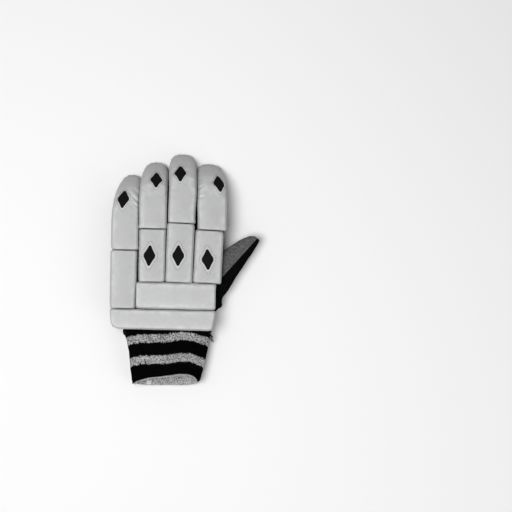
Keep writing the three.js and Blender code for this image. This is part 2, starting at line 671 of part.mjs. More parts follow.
FINGERS.forEach((finger) => {
  const tip = (height) => {
    return aboveSurface(placed(loft(tipRings(finger, height)), finger.frame)).subtract(halfFitted);
  };
  const place = TIP_INLAYS[finger.name];
  const blocks = inlayBlocks(finger, faceAt(finger, place.back), TIP_HEIGHT, place);
  const name = `${finger.name}_tip_roll`;
  addInlaidRoll(name, finger.frame, tip(TIP_HEIGHT), tip(TIP_HEIGHT - LOZENGE.sink), blocks);
});

FINGERS.forEach((finger) => {
  const knuckle = (height) => placed(loft(knuckleRings(finger, height)), finger.frame);
  const name = `${finger.name}_knuckle_roll`;
  const place = KNUCKLE_INLAYS[finger.name];
  if (!place) {
    addPiece(name, "leather", knuckle(KNUCKLE_HEIGHT), finger.frame);
    return;
  }
  const blocks = inlayBlocks(finger, finger.knuckle - place.back, KNUCKLE_HEIGHT, place);
  const lowered = knuckle(KNUCKLE_HEIGHT - LOZENGE.sink);
  addInlaidRoll(name, finger.frame, knuckle(KNUCKLE_HEIGHT), lowered, blocks);
});

[HAND_BAR, WRIST_BAR].forEach((bar) => {
  const x = (bar.from + bar.to) / 2;
  const position = [x, bar.foot + bar.width / 2, BACK + CLEARANCE - archDrop(x)];
  const frame = frameAt(`${bar.name}_seat`, position, [0, 0, radians(-BAR_LEAN)]);
  addPiece(bar.name, "leather", placed(loft(barRings(bar)), frame), frame);
});

THUMB_PADS.forEach((pad) => {
  const form = (sink) => placed(loft(padRings(pad, sink)), thumbFrame).subtract(fitted);
  if (!pad.lozenge) {
    addPiece(pad.name, "leather", form(0), thumbFrame);
    return;
  }
  const { inner, outer } = thumbOutline(pad.lozenge);
  const across = (THUMB.width * (outer - inner)) / 2;
  const blocks = [CLEARANCE, 0].map((grow) => {
    const block = prism(lozenge(grow), -LOZENGE.floor, LOZENGE.floor + grow);
    return placed(block.translate(across, -pad.lozenge * THUMB.length, 0), thumbFrame);
  });
  addInlaidRoll(pad.name, thumbFrame, form(0), form(LOZENGE.sink), blocks);
});

// The knitted cuff, its lining, and the bands that lie close against it
const liningGrow = -KNIT_WALL - CLEARANCE;
const bore = cuff(liningGrow - LINING_WALL, LINING_RIM + CUFF.slant);
addPiece("knit_cuff", "knit", cuff(0).subtract(cuff(-KNIT_WALL, CUFF.slant)));
addPiece("cuff_lining", "lining", trimmed(cuff(liningGrow, LINING_RIM)).subtract(bore));

// Cuts off what reaches past the wrist seam.
function trimmed(solid) {
  const [wide, seam] = [2 * ROW_WIDTH, WRIST_OVERLAP - CLEARANCE];
  const outline = [[-wide, -wide], [wide, -wide], [wide, seam], [-wide, seam]];
  return solid.intersect(solidOf(prism(outline, -wide, wide)));
}

const bandLayer = everything(CLEARANCE + BAND_THICKNESS).subtract(fitted);

function strapOutline() {
  const [top, bottom] = [WRIST_OVERLAP - STRAP.below, WRIST_OVERLAP - STRAP.below - STRAP.width];
  const end = SEAM_LEFT + SEAM_SPAN * STRAP.reach;
  const corner = (y, from, to) =>
    [0, 0.2, 0.4, 0.6, 0.8, 1].map((t) => {
      const angle = radians(lerp(from, to, t));
      return [end - STRAP.corner * (1 - Math.cos(angle)), y + STRAP.corner * Math.sin(angle)];
    });
  return [
    [-SEAM_SPAN, bottom], ...corner(bottom + STRAP.corner, -90, 0), ...corner(top - STRAP.corner, 0, 90),
    [-SEAM_SPAN, top],
  ];
}
addPiece("wrist_strap", "leather", bandLayer.intersect(solidOf(prism(strapOutline(), -1, STRAP.climb))));

function loopOutline() {
  const [outside, inside] = [LOOP.band + LOOP.hole / 2, LOOP.hole / 2];
  const foot = WRIST_OVERLAP - STRAP.below + CLEARANCE;
  const middle = SEAM_LEFT + LOOP.inset + outside;
  const arc = (radius, from, to) =>
    [0, 0.2, 0.4, 0.6, 0.8, 1].map((t) => {
      const angle = radians(lerp(from, to, t));
      const rise = foot + LOOP.length - outside;
      return [middle + radius * Math.cos(angle), rise + radius * Math.sin(angle)];
    });
  return [
    [middle + outside, foot], ...arc(outside, 0, 180), [middle - outside, foot], [middle - inside, foot],
    ...arc(inside, 180, 0), [middle + inside, foot],
  ];
}
addPiece("pull_loop", "leather", bandLayer.intersect(solidOf(prism(loopOutline(), -1, LOOP.climb))));

// The glove's origin is under the middle of its outline.
const bounds = new THREE.Box3().setFromObject(hand, true);
hand.position.set(-(bounds.min.x + bounds.max.x) / 2, -(bounds.min.y + bounds.max.y) / 2, -bounds.min.z);
const glove = new THREE.Group();
glove.add(hand);
export default glove;
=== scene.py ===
import math
from contextlib import contextmanager

import bmesh
import bpy
import numpy as np
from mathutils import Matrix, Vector, noise
from mathutils.bvhtree import BVHTree


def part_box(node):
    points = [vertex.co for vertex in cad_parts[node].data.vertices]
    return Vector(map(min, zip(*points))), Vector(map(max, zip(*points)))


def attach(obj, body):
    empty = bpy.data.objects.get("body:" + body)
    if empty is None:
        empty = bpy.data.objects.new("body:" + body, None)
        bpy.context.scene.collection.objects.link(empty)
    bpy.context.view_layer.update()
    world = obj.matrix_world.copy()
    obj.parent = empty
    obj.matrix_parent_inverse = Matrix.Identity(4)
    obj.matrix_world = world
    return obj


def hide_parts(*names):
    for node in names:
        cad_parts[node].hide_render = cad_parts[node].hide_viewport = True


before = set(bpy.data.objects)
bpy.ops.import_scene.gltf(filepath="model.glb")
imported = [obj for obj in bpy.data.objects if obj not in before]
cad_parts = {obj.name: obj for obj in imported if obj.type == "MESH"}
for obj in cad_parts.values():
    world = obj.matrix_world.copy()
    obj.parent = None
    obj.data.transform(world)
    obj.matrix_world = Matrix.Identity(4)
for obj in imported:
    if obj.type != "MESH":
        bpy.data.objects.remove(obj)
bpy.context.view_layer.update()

MM = 0.001
PHOTO_SIZE = 512
PHOTO_ORIGIN = (185.15, 270.35)  # the pixel over the frame's origin
PIXEL = 1.22  # on the object

# Sizes shared with the part's source
CLEARANCE = 0.3
KNIT_WALL = 2.4
LINING_WALL = 1.2
BAND_THICKNESS = 2.2
HAND_DEPTH = 18.5
PALM_LIFT = 12.5
ARCH = 4.5
PALM_REACH = 53.5
STALL_INSET = 0.6
STALL_GAP = 1.5
STALL_ROOT = 6
STALL_STEP = 0.4
WRIST_OVERLAP = 5.5
MESH_SHARE = 0.62
MESH_BAND = 8
TIP_HEIGHT = 17.5
HAND_BAR_WIDTH = 31.4
WRIST_BAR_WIDTH = 23.4
SEAM_GAP = 1.4
BAR_LEAN = math.radians(1.3)
HAND_BAR_OVERHANG = 3.6
BAR_INSET = 5.9
WRIST_BAR_OVERHANG = 1
PILLOW_END = 6
BEND_RADIUS = 33
BEND_ANGLE = math.radians(52)
TIP_CAP = 22
TIP_TUCK = 9
STALL_CAP = 11
STALL_SETBACK = 15
FINGERS = [
    dict(name="little", gap=0, knuckle=70, knuckle_width=31.5, lean=0.85,
         tip=90.8, tip_width=32.9, shift=0.7, sway=0),
    dict(name="ring", gap=3, knuckle=63.4, knuckle_width=31.3, lean=0.7,
         tip=80.2, tip_width=33.6, shift=0.2, sway=0),
    dict(name="middle", gap=0.4, knuckle=71, knuckle_width=31.9, lean=2.4,
         tip=83.2, tip_width=32.5, shift=0.5, sway=0.4),
    dict(name="index", gap=1.35, knuckle=63.2, knuckle_width=33, lean=3.1,
         tip=79.7, tip_width=34.6, shift=3, sway=2.6),
]
LOZENGE = dict(width=14.3, length=25, blunt=0.14, sink=0.7)

# Sections of the palm: along, little side, thumb side, lift
PALM_SECTIONS = np.array([
    [0, 0.1, 0.086, 0.2], [0.09, 0.055, 0.078, 0.52], [0.19, 0.028, 0.068, 0.86], [0.32, 0.018, 0.055, 1],
    [0.55, 0.014, 0.032, 1], [0.78, 0.012, 0.01, 1], [1, 0.012, 0, 1],
])
# Sections of the thumb: along, inner, outer, depth
THUMB = dict(length=104, width=44, depth=15, turn=math.radians(42),
             root_across=0.828, root_along=0.276, wrap=4.5)
THUMB_SECTIONS = np.array([
    [0.012, 0.084, 0.084, 0.4], [0.047, 0.193, 0.111, 0.64], [0.106, 0.268, 0.139, 0.82],
    [0.188, 0.35, 0.173, 0.93], [0.293, 0.414, 0.198, 1], [0.4, 0.47, 0.243, 1], [0.53, 0.545, 0.289, 1],
    [0.683, 0.59, 0.364, 0.97], [0.808, 0.614, 0.386, 0.94], [0.885, 0.614, 0.5, 0.9], [1, 0.59, 0.5, 0.86],
])
# Sections of the cuff: along, left, right, height
CUFF = dict(length=73.5, height=29.5, slant=13.5)
CUFF_SECTIONS = np.array([
    [0, 0, 0, 0.966], [0.15, 0.018, 0, 0.97], [0.3, 0.052, 0.014, 0.97], [0.5, 0.071, 0.044, 0.96],
    [0.75, 0.09, 0.078, 0.975], [1, 0.115, 0.13, 1],
])

# Places that follow from the sizes, from the outer corner of the knuckle row and the wrist bar
place = 0
for finger in FINGERS:
    finger["x"] = place + finger["gap"] + finger["knuckle_width"] / 2
    place += finger["gap"] + finger["knuckle_width"]
LITTLE, RING, _, INDEX = FINGERS
ROW_WIDTH = INDEX["x"] + INDEX["knuckle_width"] / 2
BACK = PALM_LIFT + HAND_DEPTH
KNUCKLE_FOOT = WRIST_BAR_WIDTH + HAND_BAR_WIDTH + 2 * SEAM_GAP
PALM_LENGTH = KNUCKLE_FOOT + PALM_REACH - WRIST_OVERLAP
MESH_SEAM = BACK - HAND_DEPTH * MESH_SHARE
CUFF_LIFT = BAND_THICKNESS + CLEARANCE
SEAM_LEFT = ROW_WIDTH * PALM_SECTIONS[0][1]
SEAM_SPAN = ROW_WIDTH * (1 - PALM_SECTIONS[0][2]) - SEAM_LEFT
WRIST_SEAM = WRIST_OVERLAP - CLEARANCE
cuff_low, cuff_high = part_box("knit_cuff")
SHIFT = np.array([cuff_low.x / MM - SEAM_LEFT, cuff_high.y / MM - WRIST_SEAM, 0])
WRIST_EDGE = WRIST_OVERLAP + SHIFT[1]


# Helpers for points
def arch_drop(x):
    return ARCH * (x / (ROW_WIDTH / 2) - 1) ** 2


def arched(x, y, z, bottom, top):
    """Points of a section in the part's frame, its upper half lowered by the arch of the back."""
    upper = np.clip((z - (bottom + top) / 2) / ((top - bottom) / 2), 0, 1)
    return np.stack([x, y, z - arch_drop(x) * upper], axis=1) + SHIFT


def section(table, along):
    """The three widths or heights of a table of sections, at a share of its length."""
    return [np.interp(along, table[:, 0], table[:, k]) for k in (1, 2, 3)]


def rounded_box(count, left, right, bottom, top, crown=3, base=3, waist=0.5):
    """A closed ring of points about a rounded box, as in the part's source."""
    angle = 2 * np.pi * (np.arange(count) + 0.5) / count
    c, s = np.cos(angle), np.sin(angle)
    power = 2 / np.where(s > 0, crown, base)
    x = np.sign(c) * np.abs(c) ** power
    z = np.sign(s) * np.abs(s) ** power
    level = bottom + (top - bottom) * waist
    height = np.where(z > 0, (top - level) * z / z.max(), (level - bottom) * z / -z.min())
    return (left + right) / 2 + (right - left) / 2 * x / x.max(), level + height


def fade(distance, stretch, least, power):
    t = 1 - np.clip(distance, 0, stretch) / stretch
    return least + (1 - least) * (1 - t**power) ** (1 / power)


def smoothstep(low, high, x):
    t = np.clip((x - low) / (high - low), 0, 1)
    return t * t * (3 - 2 * t)


def wander(points, size, seed=0):
    """Smooth noise from -1 to 1 at each point, with bumps of about the given size."""
    offset = Vector((seed * 13.7, seed * 7.1, seed * 3.3))
    return np.array([noise.noise(Vector(p) / size + offset) for p in points])


def at_pixel(px, py):
    """A place seen from above, from a pixel of the photograph."""
    return np.array([(px - PHOTO_ORIGIN[0]) * PIXEL, (PHOTO_ORIGIN[1] - py) * PIXEL])


def distances(path):
    """How far along a path each of its points is."""
    return np.concatenate([[0], np.cumsum(np.linalg.norm(np.diff(path, axis=0), axis=1))])


def along_path(path, far, at):
    """Points at some distances along a path, whose own points are at the distances far."""
    return np.stack([np.interp(at, far, path[:, k]) for k in range(3)], axis=-1)


def unit(vectors):
    return vectors / np.maximum(np.linalg.norm(vectors, axis=-1, keepdims=True), 1e-6)


def rotation(tilt, turn):
    ct, st, cz, sz = math.cos(tilt), math.sin(tilt), math.cos(turn), math.sin(turn)
    about_y = np.array([[ct, 0, st], [0, 1, 0], [-st, 0, ct]])
    about_z = np.array([[cz, -sz, 0], [sz, cz, 0], [0, 0, 1]])
    return about_z @ about_y


def placed(points, turn, at):
    return points @ turn.T + at


def unplaced(points, turn, at):
    return (points - at) @ turn


# A finger's line, straight along Y and then bent down, in the finger's own frame
def sideways(finger, s):
    past = np.maximum(0, s - finger["knuckle"] - SEAM_GAP)
    side = finger["shift"] * np.clip(2 * s / finger["knuckle"] - 1, 0, 1)
    return side - past * math.tan(math.radians(finger["sway"]))


def line_at(finger, s):
    past = max(0, s - finger["straight"])
    angle = min(past / BEND_RADIUS, BEND_ANGLE)
    rest = past - BEND_RADIUS * angle
    y = s - past + BEND_RADIUS * math.sin(angle) + rest * math.cos(angle)
    z = -BEND_RADIUS * (1 - math.cos(angle)) - rest * math.sin(angle)
    return sideways(finger, s), y, z, angle


def off_line(finger, s, across, height):
    x, y, z, angle = line_at(finger, s)
    return np.stack([x + across, y + height * math.sin(angle), z + height * math.cos(angle)], axis=1)


def along_line(finger, points):
    """The distance along a finger's line and the height off it, of points in the finger's frame."""
    y, z = points[:, 1] - finger["straight"], points[:, 2] + BEND_RADIUS
    angle = np.clip(np.arctan2(y, z), 0, BEND_ANGLE)
    s = finger["straight"] + BEND_RADIUS * angle + y * np.cos(angle) - z * np.sin(angle)
    return s, y * np.sin(angle) + z * np.cos(angle) - BEND_RADIUS


def tip_reach(finger):
    """How far the roll of a fingertip reaches along Y above the floor."""
    start = finger["knuckle"] + SEAM_GAP
    length = finger["end"] - start
    drop = BACK + CLEARANCE - arch_drop(finger["x"])
    reach = 0
    for s in [*(finger["straight"] - start + BEND_RADIUS * BEND_ANGLE * i / 3 for i in range(4)),
              *(length - t * TIP_CAP for t in (1, 0.42, 0.12, 0))]:
        top = TIP_HEIGHT * fade(s, PILLOW_END, 0.72, 2.2) * fade(length - s, TIP_CAP, 0.5, 2.1)
        points = off_line(finger, start + s, *rounded_box(14, -1, 1, 0, top, 2.7, 5, 0.4))
        reach = max([reach, *points[points[:, 2] > -drop][:, 1]])
    return reach


hand_bar_middle = (RING["x"] - RING["knuckle_width"] / 2 - HAND_BAR_OVERHANG + ROW_WIDTH - BAR_INSET) / 2
wrist_bar_middle = (ROW_WIDTH - BAR_INSET - WRIST_BAR_OVERHANG) / 2
for finger in FINGERS:
    little = finger is LITTLE
    middle = wrist_bar_middle if little else hand_bar_middle
    top_of_bar = WRIST_BAR_WIDTH if little else WRIST_BAR_WIDTH + SEAM_GAP + HAND_BAR_WIDTH
    height = BACK + CLEARANCE - arch_drop(finger["x"])
    finger["foot"] = top_of_bar + SEAM_GAP + (middle - finger["x"]) * math.tan(BAR_LEAN)
    finger["place"] = np.array([finger["x"], finger["foot"], height]) + SHIFT
    tilt = math.atan(4 * ARCH * (finger["x"] / (ROW_WIDTH / 2) - 1) / ROW_WIDTH)
    finger["turn"] = rotation(tilt, -math.radians(finger["lean"]))
    start = finger["knuckle"] + SEAM_GAP
    below = (height - BEND_RADIUS * (1 - math.cos(BEND_ANGLE))) / math.sin(BEND_ANGLE)
    finger["straight"] = start
    finger["landing"] = start + BEND_RADIUS * BEND_ANGLE + below
    finger["end"] = finger["landing"] + TIP_TUCK / math.sin(BEND_ANGLE)
    extra = finger["tip"] + start - tip_reach(finger)
    for key in ("straight", "landing", "end"):
        finger[key] += extra

THUMB_PLACE = SHIFT + THUMB["length"] * np.array([math.sin(THUMB["turn"]), math.cos(THUMB["turn"]), 0])
THUMB_PLACE += [ROW_WIDTH * THUMB["root_across"], WRIST_OVERLAP + PALM_LENGTH * THUMB["root_along"], 0]
THUMB_TURN = rotation(0, -THUMB["turn"])


# Meshes
def link(name, data):
    obj = bpy.data.objects.new(name, data)
    bpy.context.scene.collection.objects.link(obj)
    return obj


def mesh_object(name, points, faces):
    """A new smooth-shaded object from points in millimetres."""
    mesh = bpy.data.meshes.new(name)
    mesh.from_pydata((np.asarray(points) * MM).tolist(), [], [list(map(int, f)) for f in faces])
    mesh.validate()
    mesh.shade_smooth()
    return link(name, mesh)


def from_bmesh(name, bm):
    mesh = bpy.data.meshes.new(name)
    bm.to_mesh(mesh)
    bm.free()
    return link(name, mesh)


@contextmanager
def editing(obj, write=True):
    """An object's mesh as a bmesh, which is written back unless it is only read."""
    bm = bmesh.new()
    bm.from_mesh(obj.data)
    bm.verts.ensure_lookup_table()
    bm.faces.ensure_lookup_table()
    yield bm
    if write:
        bm.to_mesh(obj.data)
    bm.free()


def vectors(obj, key):
    flat = np.empty(len(obj.data.vertices) * 3, np.float32)
    obj.data.vertices.foreach_get(key, flat)
    return flat.reshape(-1, 3).astype(float)


def points_of(obj):
    return vectors(obj, "co") / MM


def points_and_normals(obj):
    return points_of(obj), vectors(obj, "normal")


def move_points(obj, points):
    obj.data.vertices.foreach_set("co", (points * MM).astype(np.float32).ravel())
    obj.data.update()


def swell(obj, by):
    """Moves each point along its normal."""
    points, normals = points_and_normals(obj)
    move_points(obj, points + normals * by[:, None])


def store(obj, name, values):
    layer = obj.data.attributes.get(name) or obj.data.attributes.new(name, "FLOAT", "POINT")
    layer.data.foreach_set("value", np.asarray(values, np.float32))


def stored(obj, name):
    return np.array([item.value for item in obj.data.attributes[name].data])


def loft_faces(rows, columns, closed=True, looped=False, first=0):
    """Quads between rows of points, round each row if closed, and back to the first row if looped."""
    faces = []
    for r in range(rows if looped else rows - 1):
        a, b = first + r * columns, first + (r + 1) % rows * columns
        for k in range(columns if closed else columns - 1):
            after = (k + 1) % columns
            faces.append((a + k, a + after, b + after, b + k))
    return faces


def loft(name, rings):
    """A form through rings of points, with a fan over either end."""
    rows, columns = len(rings), len(rings[0])
    apex, last = rows * columns, (rows - 1) * columns
    faces = loft_faces(rows, columns)
    faces += [((k + 1) % columns, k, apex) for k in range(columns)]
    faces += [(last + k, last + (k + 1) % columns, apex + 1) for k in range(columns)]
    return mesh_object(name, np.concatenate([*rings, [rings[0].mean(0)], [rings[-1].mean(0)]]), faces)


def strip(name, lines, closed=True):
    """A band between rows of points."""
    return mesh_object(name, np.concatenate(lines), loft_faces(len(lines), len(lines[0]), closed))


def tubes(name, forms):
    """One object from several forms, each of them rings of points with a flat face over either end."""
    points, faces, first = [], [], 0
    for rings in forms:
        rows, columns = len(rings), len(rings[0])
        last = first + (rows - 1) * columns
        faces += loft_faces(rows, columns, first=first)
        faces += [tuple(range(first, first + columns))[::-1], tuple(range(last, last + columns))]
        points += rings
        first = last + columns
    return mesh_object(name, np.concatenate(points), faces)


def prism(name, ring, centre, axes, bottom, top):
    """A flat outline drawn out between two levels."""
    across, longest, out = axes
    obj = tubes(name, [[centre + ring[:, :1] * across + ring[:, 1:] * longest + level * out
                        for level in (bottom, top)]])
    with editing(obj) as bm:
        bmesh.ops.recalc_face_normals(bm, faces=bm.faces)
    return obj


def tube_along(name, lines, radius, sides=8):
    """Round tubes along lines of points, a little thinner at their ends."""
    forms = []
    turns = 2 * np.pi * np.arange(sides)[:, None] / sides
    for line in lines:
        ahead = np.roll(line, -1, 0) - np.roll(line, 1, 0)
        ahead[0], ahead[-1] = line[1] - line[0], line[-1] - line[-2]
        ahead = unit(ahead)
        up = np.array([0.13, 0.21, 0.97])
        rings = []
        for k, point in enumerate(line):
            across = unit(np.cross(ahead[k], up))
            up = np.cross(across, ahead[k])
            size = radius * (0.6 if k in (0, len(line) - 1) else 1)
            rings.append(point + size * (across * np.cos(turns) + up * np.sin(turns)))
        forms.append(rings)
    return tubes(name, forms)


def bake(obj):
    """Applies an object's modifiers."""
    graph = bpy.context.evaluated_depsgraph_get()
    mesh = bpy.data.meshes.new_from_object(obj.evaluated_get(graph))
    obj.modifiers.clear()
    obj.data = mesh
    mesh.name = obj.name


def modify(obj, kind, **settings):
    """Adds one modifier and applies it."""
    modifier = obj.modifiers.new(kind, kind)
    for key, value in settings.items():
        setattr(modifier, key, value)
    bake(obj)


def remesh(obj, voxel, smooth):
    modify(obj, "REMESH", mode="VOXEL", voxel_size=voxel * MM)
    modify(obj, "SMOOTH", factor=0.5, iterations=smooth)
    obj.data.shade_smooth()
    return obj


def subdivide(obj, levels=1):
    modify(obj, "SUBSURF", levels=levels, render_levels=levels)
    obj.data.shade_smooth()


def thicken(obj, wall):
    modify(obj, "SOLIDIFY", thickness=wall * MM, offset=-1)


def cut(obj, tool, operation="DIFFERENCE"):
    modify(obj, "BOOLEAN", operation=operation, object=tool, solver="MANIFOLD")


def joined(name, sources):
    """One object from the meshes of several."""
    bm = bmesh.new()
    for source in sources:
        bm.from_mesh(source.data)
    bmesh.ops.remove_doubles(bm, verts=bm.verts, dist=0.005 * MM)
    bmesh.ops.recalc_face_normals(bm, faces=bm.faces)
    return from_bmesh(name, bm)


def discard(*objects):
    for obj in objects:
        bpy.data.objects.remove(obj)


def surface(obj):
    """A finder of an object's surface."""
    with editing(obj, write=False) as bm:
        return BVHTree.FromBMesh(bm)


def hit(tree, point, direction, reach=40):
    """Where a line from outside meets a surface, and the normal there, in millimetres."""
    start = Vector((np.asarray(point) - np.asarray(direction) * reach) * MM)
    where, normal, _, _ = tree.ray_cast(start, Vector(direction))
    return (None, None) if where is None else (np.array(where) / MM, np.array(normal))


def flap(name, corners, low, high, round_by):
    """A small fold of cloth between pixels down the photograph: row, left, right."""
    rings = []
    for py, left, right in corners:
        (x0, y), (x1, _) = at_pixel(left, py), at_pixel(right, py)
        x, z = rounded_box(20, x0, x1, low, high, round_by, round_by)
        rings.append(np.stack([x, np.full(20, y), z], axis=1))
    obj = loft(name, rings)
    subdivide(obj, 2)
    return obj


def finish_piece(obj, material, slot, *nodes, fill=None):
    obj.data.materials.clear()
    obj.data.materials.append(material)
    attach(obj, "root")
    if nodes:
        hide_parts(*nodes)
    return obj


# Materials
class Shading:
    """Builds one material from nodes."""

    def __init__(self, name, roughness=0.6, specular=0.5, sheen=0.0, ior=1.5):
        self.material = bpy.data.materials.new(name)
        self.material.use_nodes = True
        self.tree = self.material.node_tree
        self.shader = self.tree.nodes["Principled BSDF"]
        for key, value in (("Roughness", roughness), ("Specular IOR Level", specular),
                           ("Sheen Weight", sheen), ("IOR", ior)):
            self.shader.inputs[key].default_value = value
        self.place = self.add("ShaderNodeTexCoord").outputs["Object"]

    def add(self, kind, inputs=(), **settings):
        node = self.tree.nodes.new(kind)
        for key, value in settings.items():
            setattr(node, key, value)
        for key, value in dict(inputs).items():
            if isinstance(value, bpy.types.NodeSocket):
                self.tree.links.new(value, node.inputs[key])
            else:
                node.inputs[key].default_value = value
        return node

    def math(self, operation, a, b=0.0):
        return self.add("ShaderNodeMath", {0: a, 1: b}, operation=operation).outputs[0]

    def plus(self, a, b):
        return self.math("ADD", a, b)

    def times(self, a, b):
        return self.math("MULTIPLY", a, b)

    def noise(self, size, detail=3.0, rough=0.55):
        inputs = {"Vector": self.place, "Scale": 1 / (size * MM), "Detail": detail, "Roughness": rough}
        return self.add("ShaderNodeTexNoise", inputs).outputs["Fac"]

    def cells(self, size, feature="F1"):
        inputs = {"Vector": self.place, "Scale": 1 / (size * MM)}
        return self.add("ShaderNodeTexVoronoi", inputs, feature=feature).outputs["Distance"]

    def random(self, *place):
        """A random value for each whole-numbered place."""
        vector = self.add("ShaderNodeCombineXYZ", enumerate(place)).outputs[0]
        return self.add("ShaderNodeTexWhiteNoise", {"Vector": vector}).outputs["Value"]

    def spread(self, value, low, high, to_low=0.0, to_high=1.0):
        inputs = {"Value": value, "From Min": low, "From Max": high, "To Min": to_low, "To Max": to_high}
        return self.add("ShaderNodeMapRange", inputs).outputs[0]

    def mix(self, share, a, b):
        return self.add("ShaderNodeMix", {0: share, 6: a, 7: b}, data_type="RGBA").outputs[2]

    def attribute(self, name):
        return self.add("ShaderNodeAttribute", attribute_name=name).outputs["Fac"]

    def drive(self, key, socket):
        self.tree.links.new(socket, self.shader.inputs[key])

    def bump(self, height, depth, strength=0.8):
        node = self.add("ShaderNodeBump", {"Height": height, "Distance": depth * MM, "Strength": strength})
        self.drive("Normal", node.outputs[0])


def grey(value, warmth=0.0):
    return (value * (1 + warmth), value, value * (1 - warmth), 1)


def leather_material(name, tone, grain=0.9):
    """Pale grained leather: fine pebbles, soft mottling, grime and painted shade in its seams and at its
    foot, and painted highlights along its edges.
    """
    m = Shading(name, roughness=0.55, specular=0.25)
    mottle = m.noise(14, 4, 0.6)
    colour = m.mix(m.spread(mottle, 0.3, 0.7), grey(tone * 0.95, 0.004), grey(tone * 1.04, -0.008))
    speckle = m.spread(m.noise(1.7, 3, 0.8), 0.3, 0.7)
    colour = m.mix(speckle, m.mix(0.06, colour, grey(0)), m.mix(0.06, colour, grey(1)))
    specks = m.spread(m.noise(0.9, 2), 0.64, 0.8)
    colour = m.mix(m.times(specks, 0.16), colour, grey(tone * 0.55, 0.02))
    # Darker where the attribute is set: painted shade on the rolls' sides and feet and on the inlays' upper
    # cut edges, and grime patches on the strap
    grime_and_shade = m.times(m.attribute("grime_and_shade"), m.spread(m.noise(5, 3), 0.2, 0.7, 0.45, 1))
    colour = m.mix(grime_and_shade, colour, grey(tone * 0.5, 0.03))
    # Lighter along the edges that the attribute marks: a painted highlight
    m.drive("Base Color", m.mix(m.times(m.attribute("edge_highlight"), 0.75), colour, grey(tone * 1.42, -0.01)))
    m.drive("Roughness", m.spread(mottle, 0.3, 0.7, 0.48, 0.65))
    m.bump(m.plus(m.cells(grain, "SMOOTH_F1"), m.times(m.noise(0.35, 2), 0.4)), 0.07)
    return m.material


def suede_material(name, tone, spread, patchy=0.3):
    """Grey suede: a brushed nap with darker and lighter specks."""
    m = Shading(name, roughness=0.95, specular=0.05, sheen=0.08)
    nap = m.noise(1.3, 2, 0.85)
    colour = m.mix(m.spread(nap, 0.3, 0.7), grey(tone * (1 - spread)), grey(tone * (1 + spread)))
    colour = m.mix(m.spread(m.noise(17, 3), 0.35, 0.7, 0, patchy), colour, grey(tone * 0.75, 0.01))
    m.drive("Base Color", m.mix(m.times(m.attribute("grime_and_shade"), 0.7), colour, grey(tone * 0.4)))
    m.bump(m.plus(nap, m.noise(0.5, 2)), 0.16, 0.7)
    return m.material


def mesh_material(name):
    """Black mesh cloth: small round holes, close together."""
    m = Shading(name, roughness=0.9, specular=0.1, ior=1.12)
    holes = m.spread(m.cells(1.5), 0.25, 0.5)
    colour = m.mix(holes, grey(0.0008), grey(0.0034))
    m.drive("Base Color", m.mix(m.spread(m.noise(9, 3), 0.4, 0.8, 0, 0.5), colour, grey(0.006)))
    m.bump(holes, 0.25)
    return m.material


def plain_material(name, tone, roughness, size, depth, vary, specular=0.25, ior=1.4):
    """A small trim: thread, binding, inlay or edge, with a fine grain."""
    m = Shading(name, roughness=roughness, specular=specular, ior=ior)
    grain = m.noise(size, 3, 0.65)
    colour = m.mix(m.spread(grain, 0.3, 0.7), grey(tone * (1 - vary)), grey(tone * (1 + vary)))
    m.drive("Base Color", colour)
    m.bump(grain, depth)
    return m.material


# Where the cuff's pale stripes start and end, as shares of its length
STRIPES = ((0.212, 0.369), (0.636, 0.803))
KNIT_COLUMN = 1.1
KNIT_ROW = 0.85


def knit_material(name):
    """Striped knit: marled grey and black bands with zigzag borders and rows of small loops."""
    m = Shading(name, roughness=0.95, specular=0.1, ior=1.12)
    column = m.math("DIVIDE", m.attribute("around"), KNIT_COLUMN)
    row = m.times(m.attribute("along"), CUFF["length"] / KNIT_ROW)
    inside = m.math("ABSOLUTE", m.math("SUBTRACT", m.math("FRACT", column), 0.5))
    loop = m.plus(row, inside)
    ragged = m.random(m.math("FLOOR", column))
    fleck = m.random(m.math("FLOOR", column), m.math("FLOOR", loop))
    edge = m.plus(m.times(m.math("SUBTRACT", ragged, 0.5), 0.03), m.times(inside, 0.035))
    at = m.plus(m.attribute("stripe"), edge)
    pale = 0.0
    for start, end in STRIPES:
        pale = m.plus(pale, m.times(m.math("GREATER_THAN", at, start), m.math("LESS_THAN", at, end)))
    marl = m.spread(m.plus(m.times(fleck, 0.7), m.times(m.noise(1.6, 2), 0.3)), 0.24, 0.76)
    dark = m.mix(m.spread(fleck, 0.9, 1.0, 0, 0.25), grey(0.0016), grey(0.02))
    m.drive("Base Color", m.mix(pale, dark, m.mix(marl, grey(0.05), grey(0.64))))
    loops = m.math("SINE", m.times(loop, 2 * math.pi))
    ribs = m.math("COSINE", m.times(column, 2 * math.pi))
    m.bump(m.plus(m.times(loops, 0.5), ribs), 0.22)
    return m.material


def terry_material(name, tone):
    """Light grey terry: a dense pile of small loops."""
    m = Shading(name, roughness=0.98, specular=0.05, sheen=0.2)
    loops = m.cells(1.35)
    fluff = m.noise(0.8, 3, 0.7)
    colour = m.mix(m.spread(loops, 0.1, 0.7), grey(tone * 1.4), grey(tone * 0.3))
    m.drive("Base Color", m.mix(m.spread(fluff, 0.35, 0.7, 0, 0.5), colour, grey(tone * 0.7, 0.01)))
    m.bump(m.math("SUBTRACT", fluff, loops), 0.5, 0.9)
    return m.material


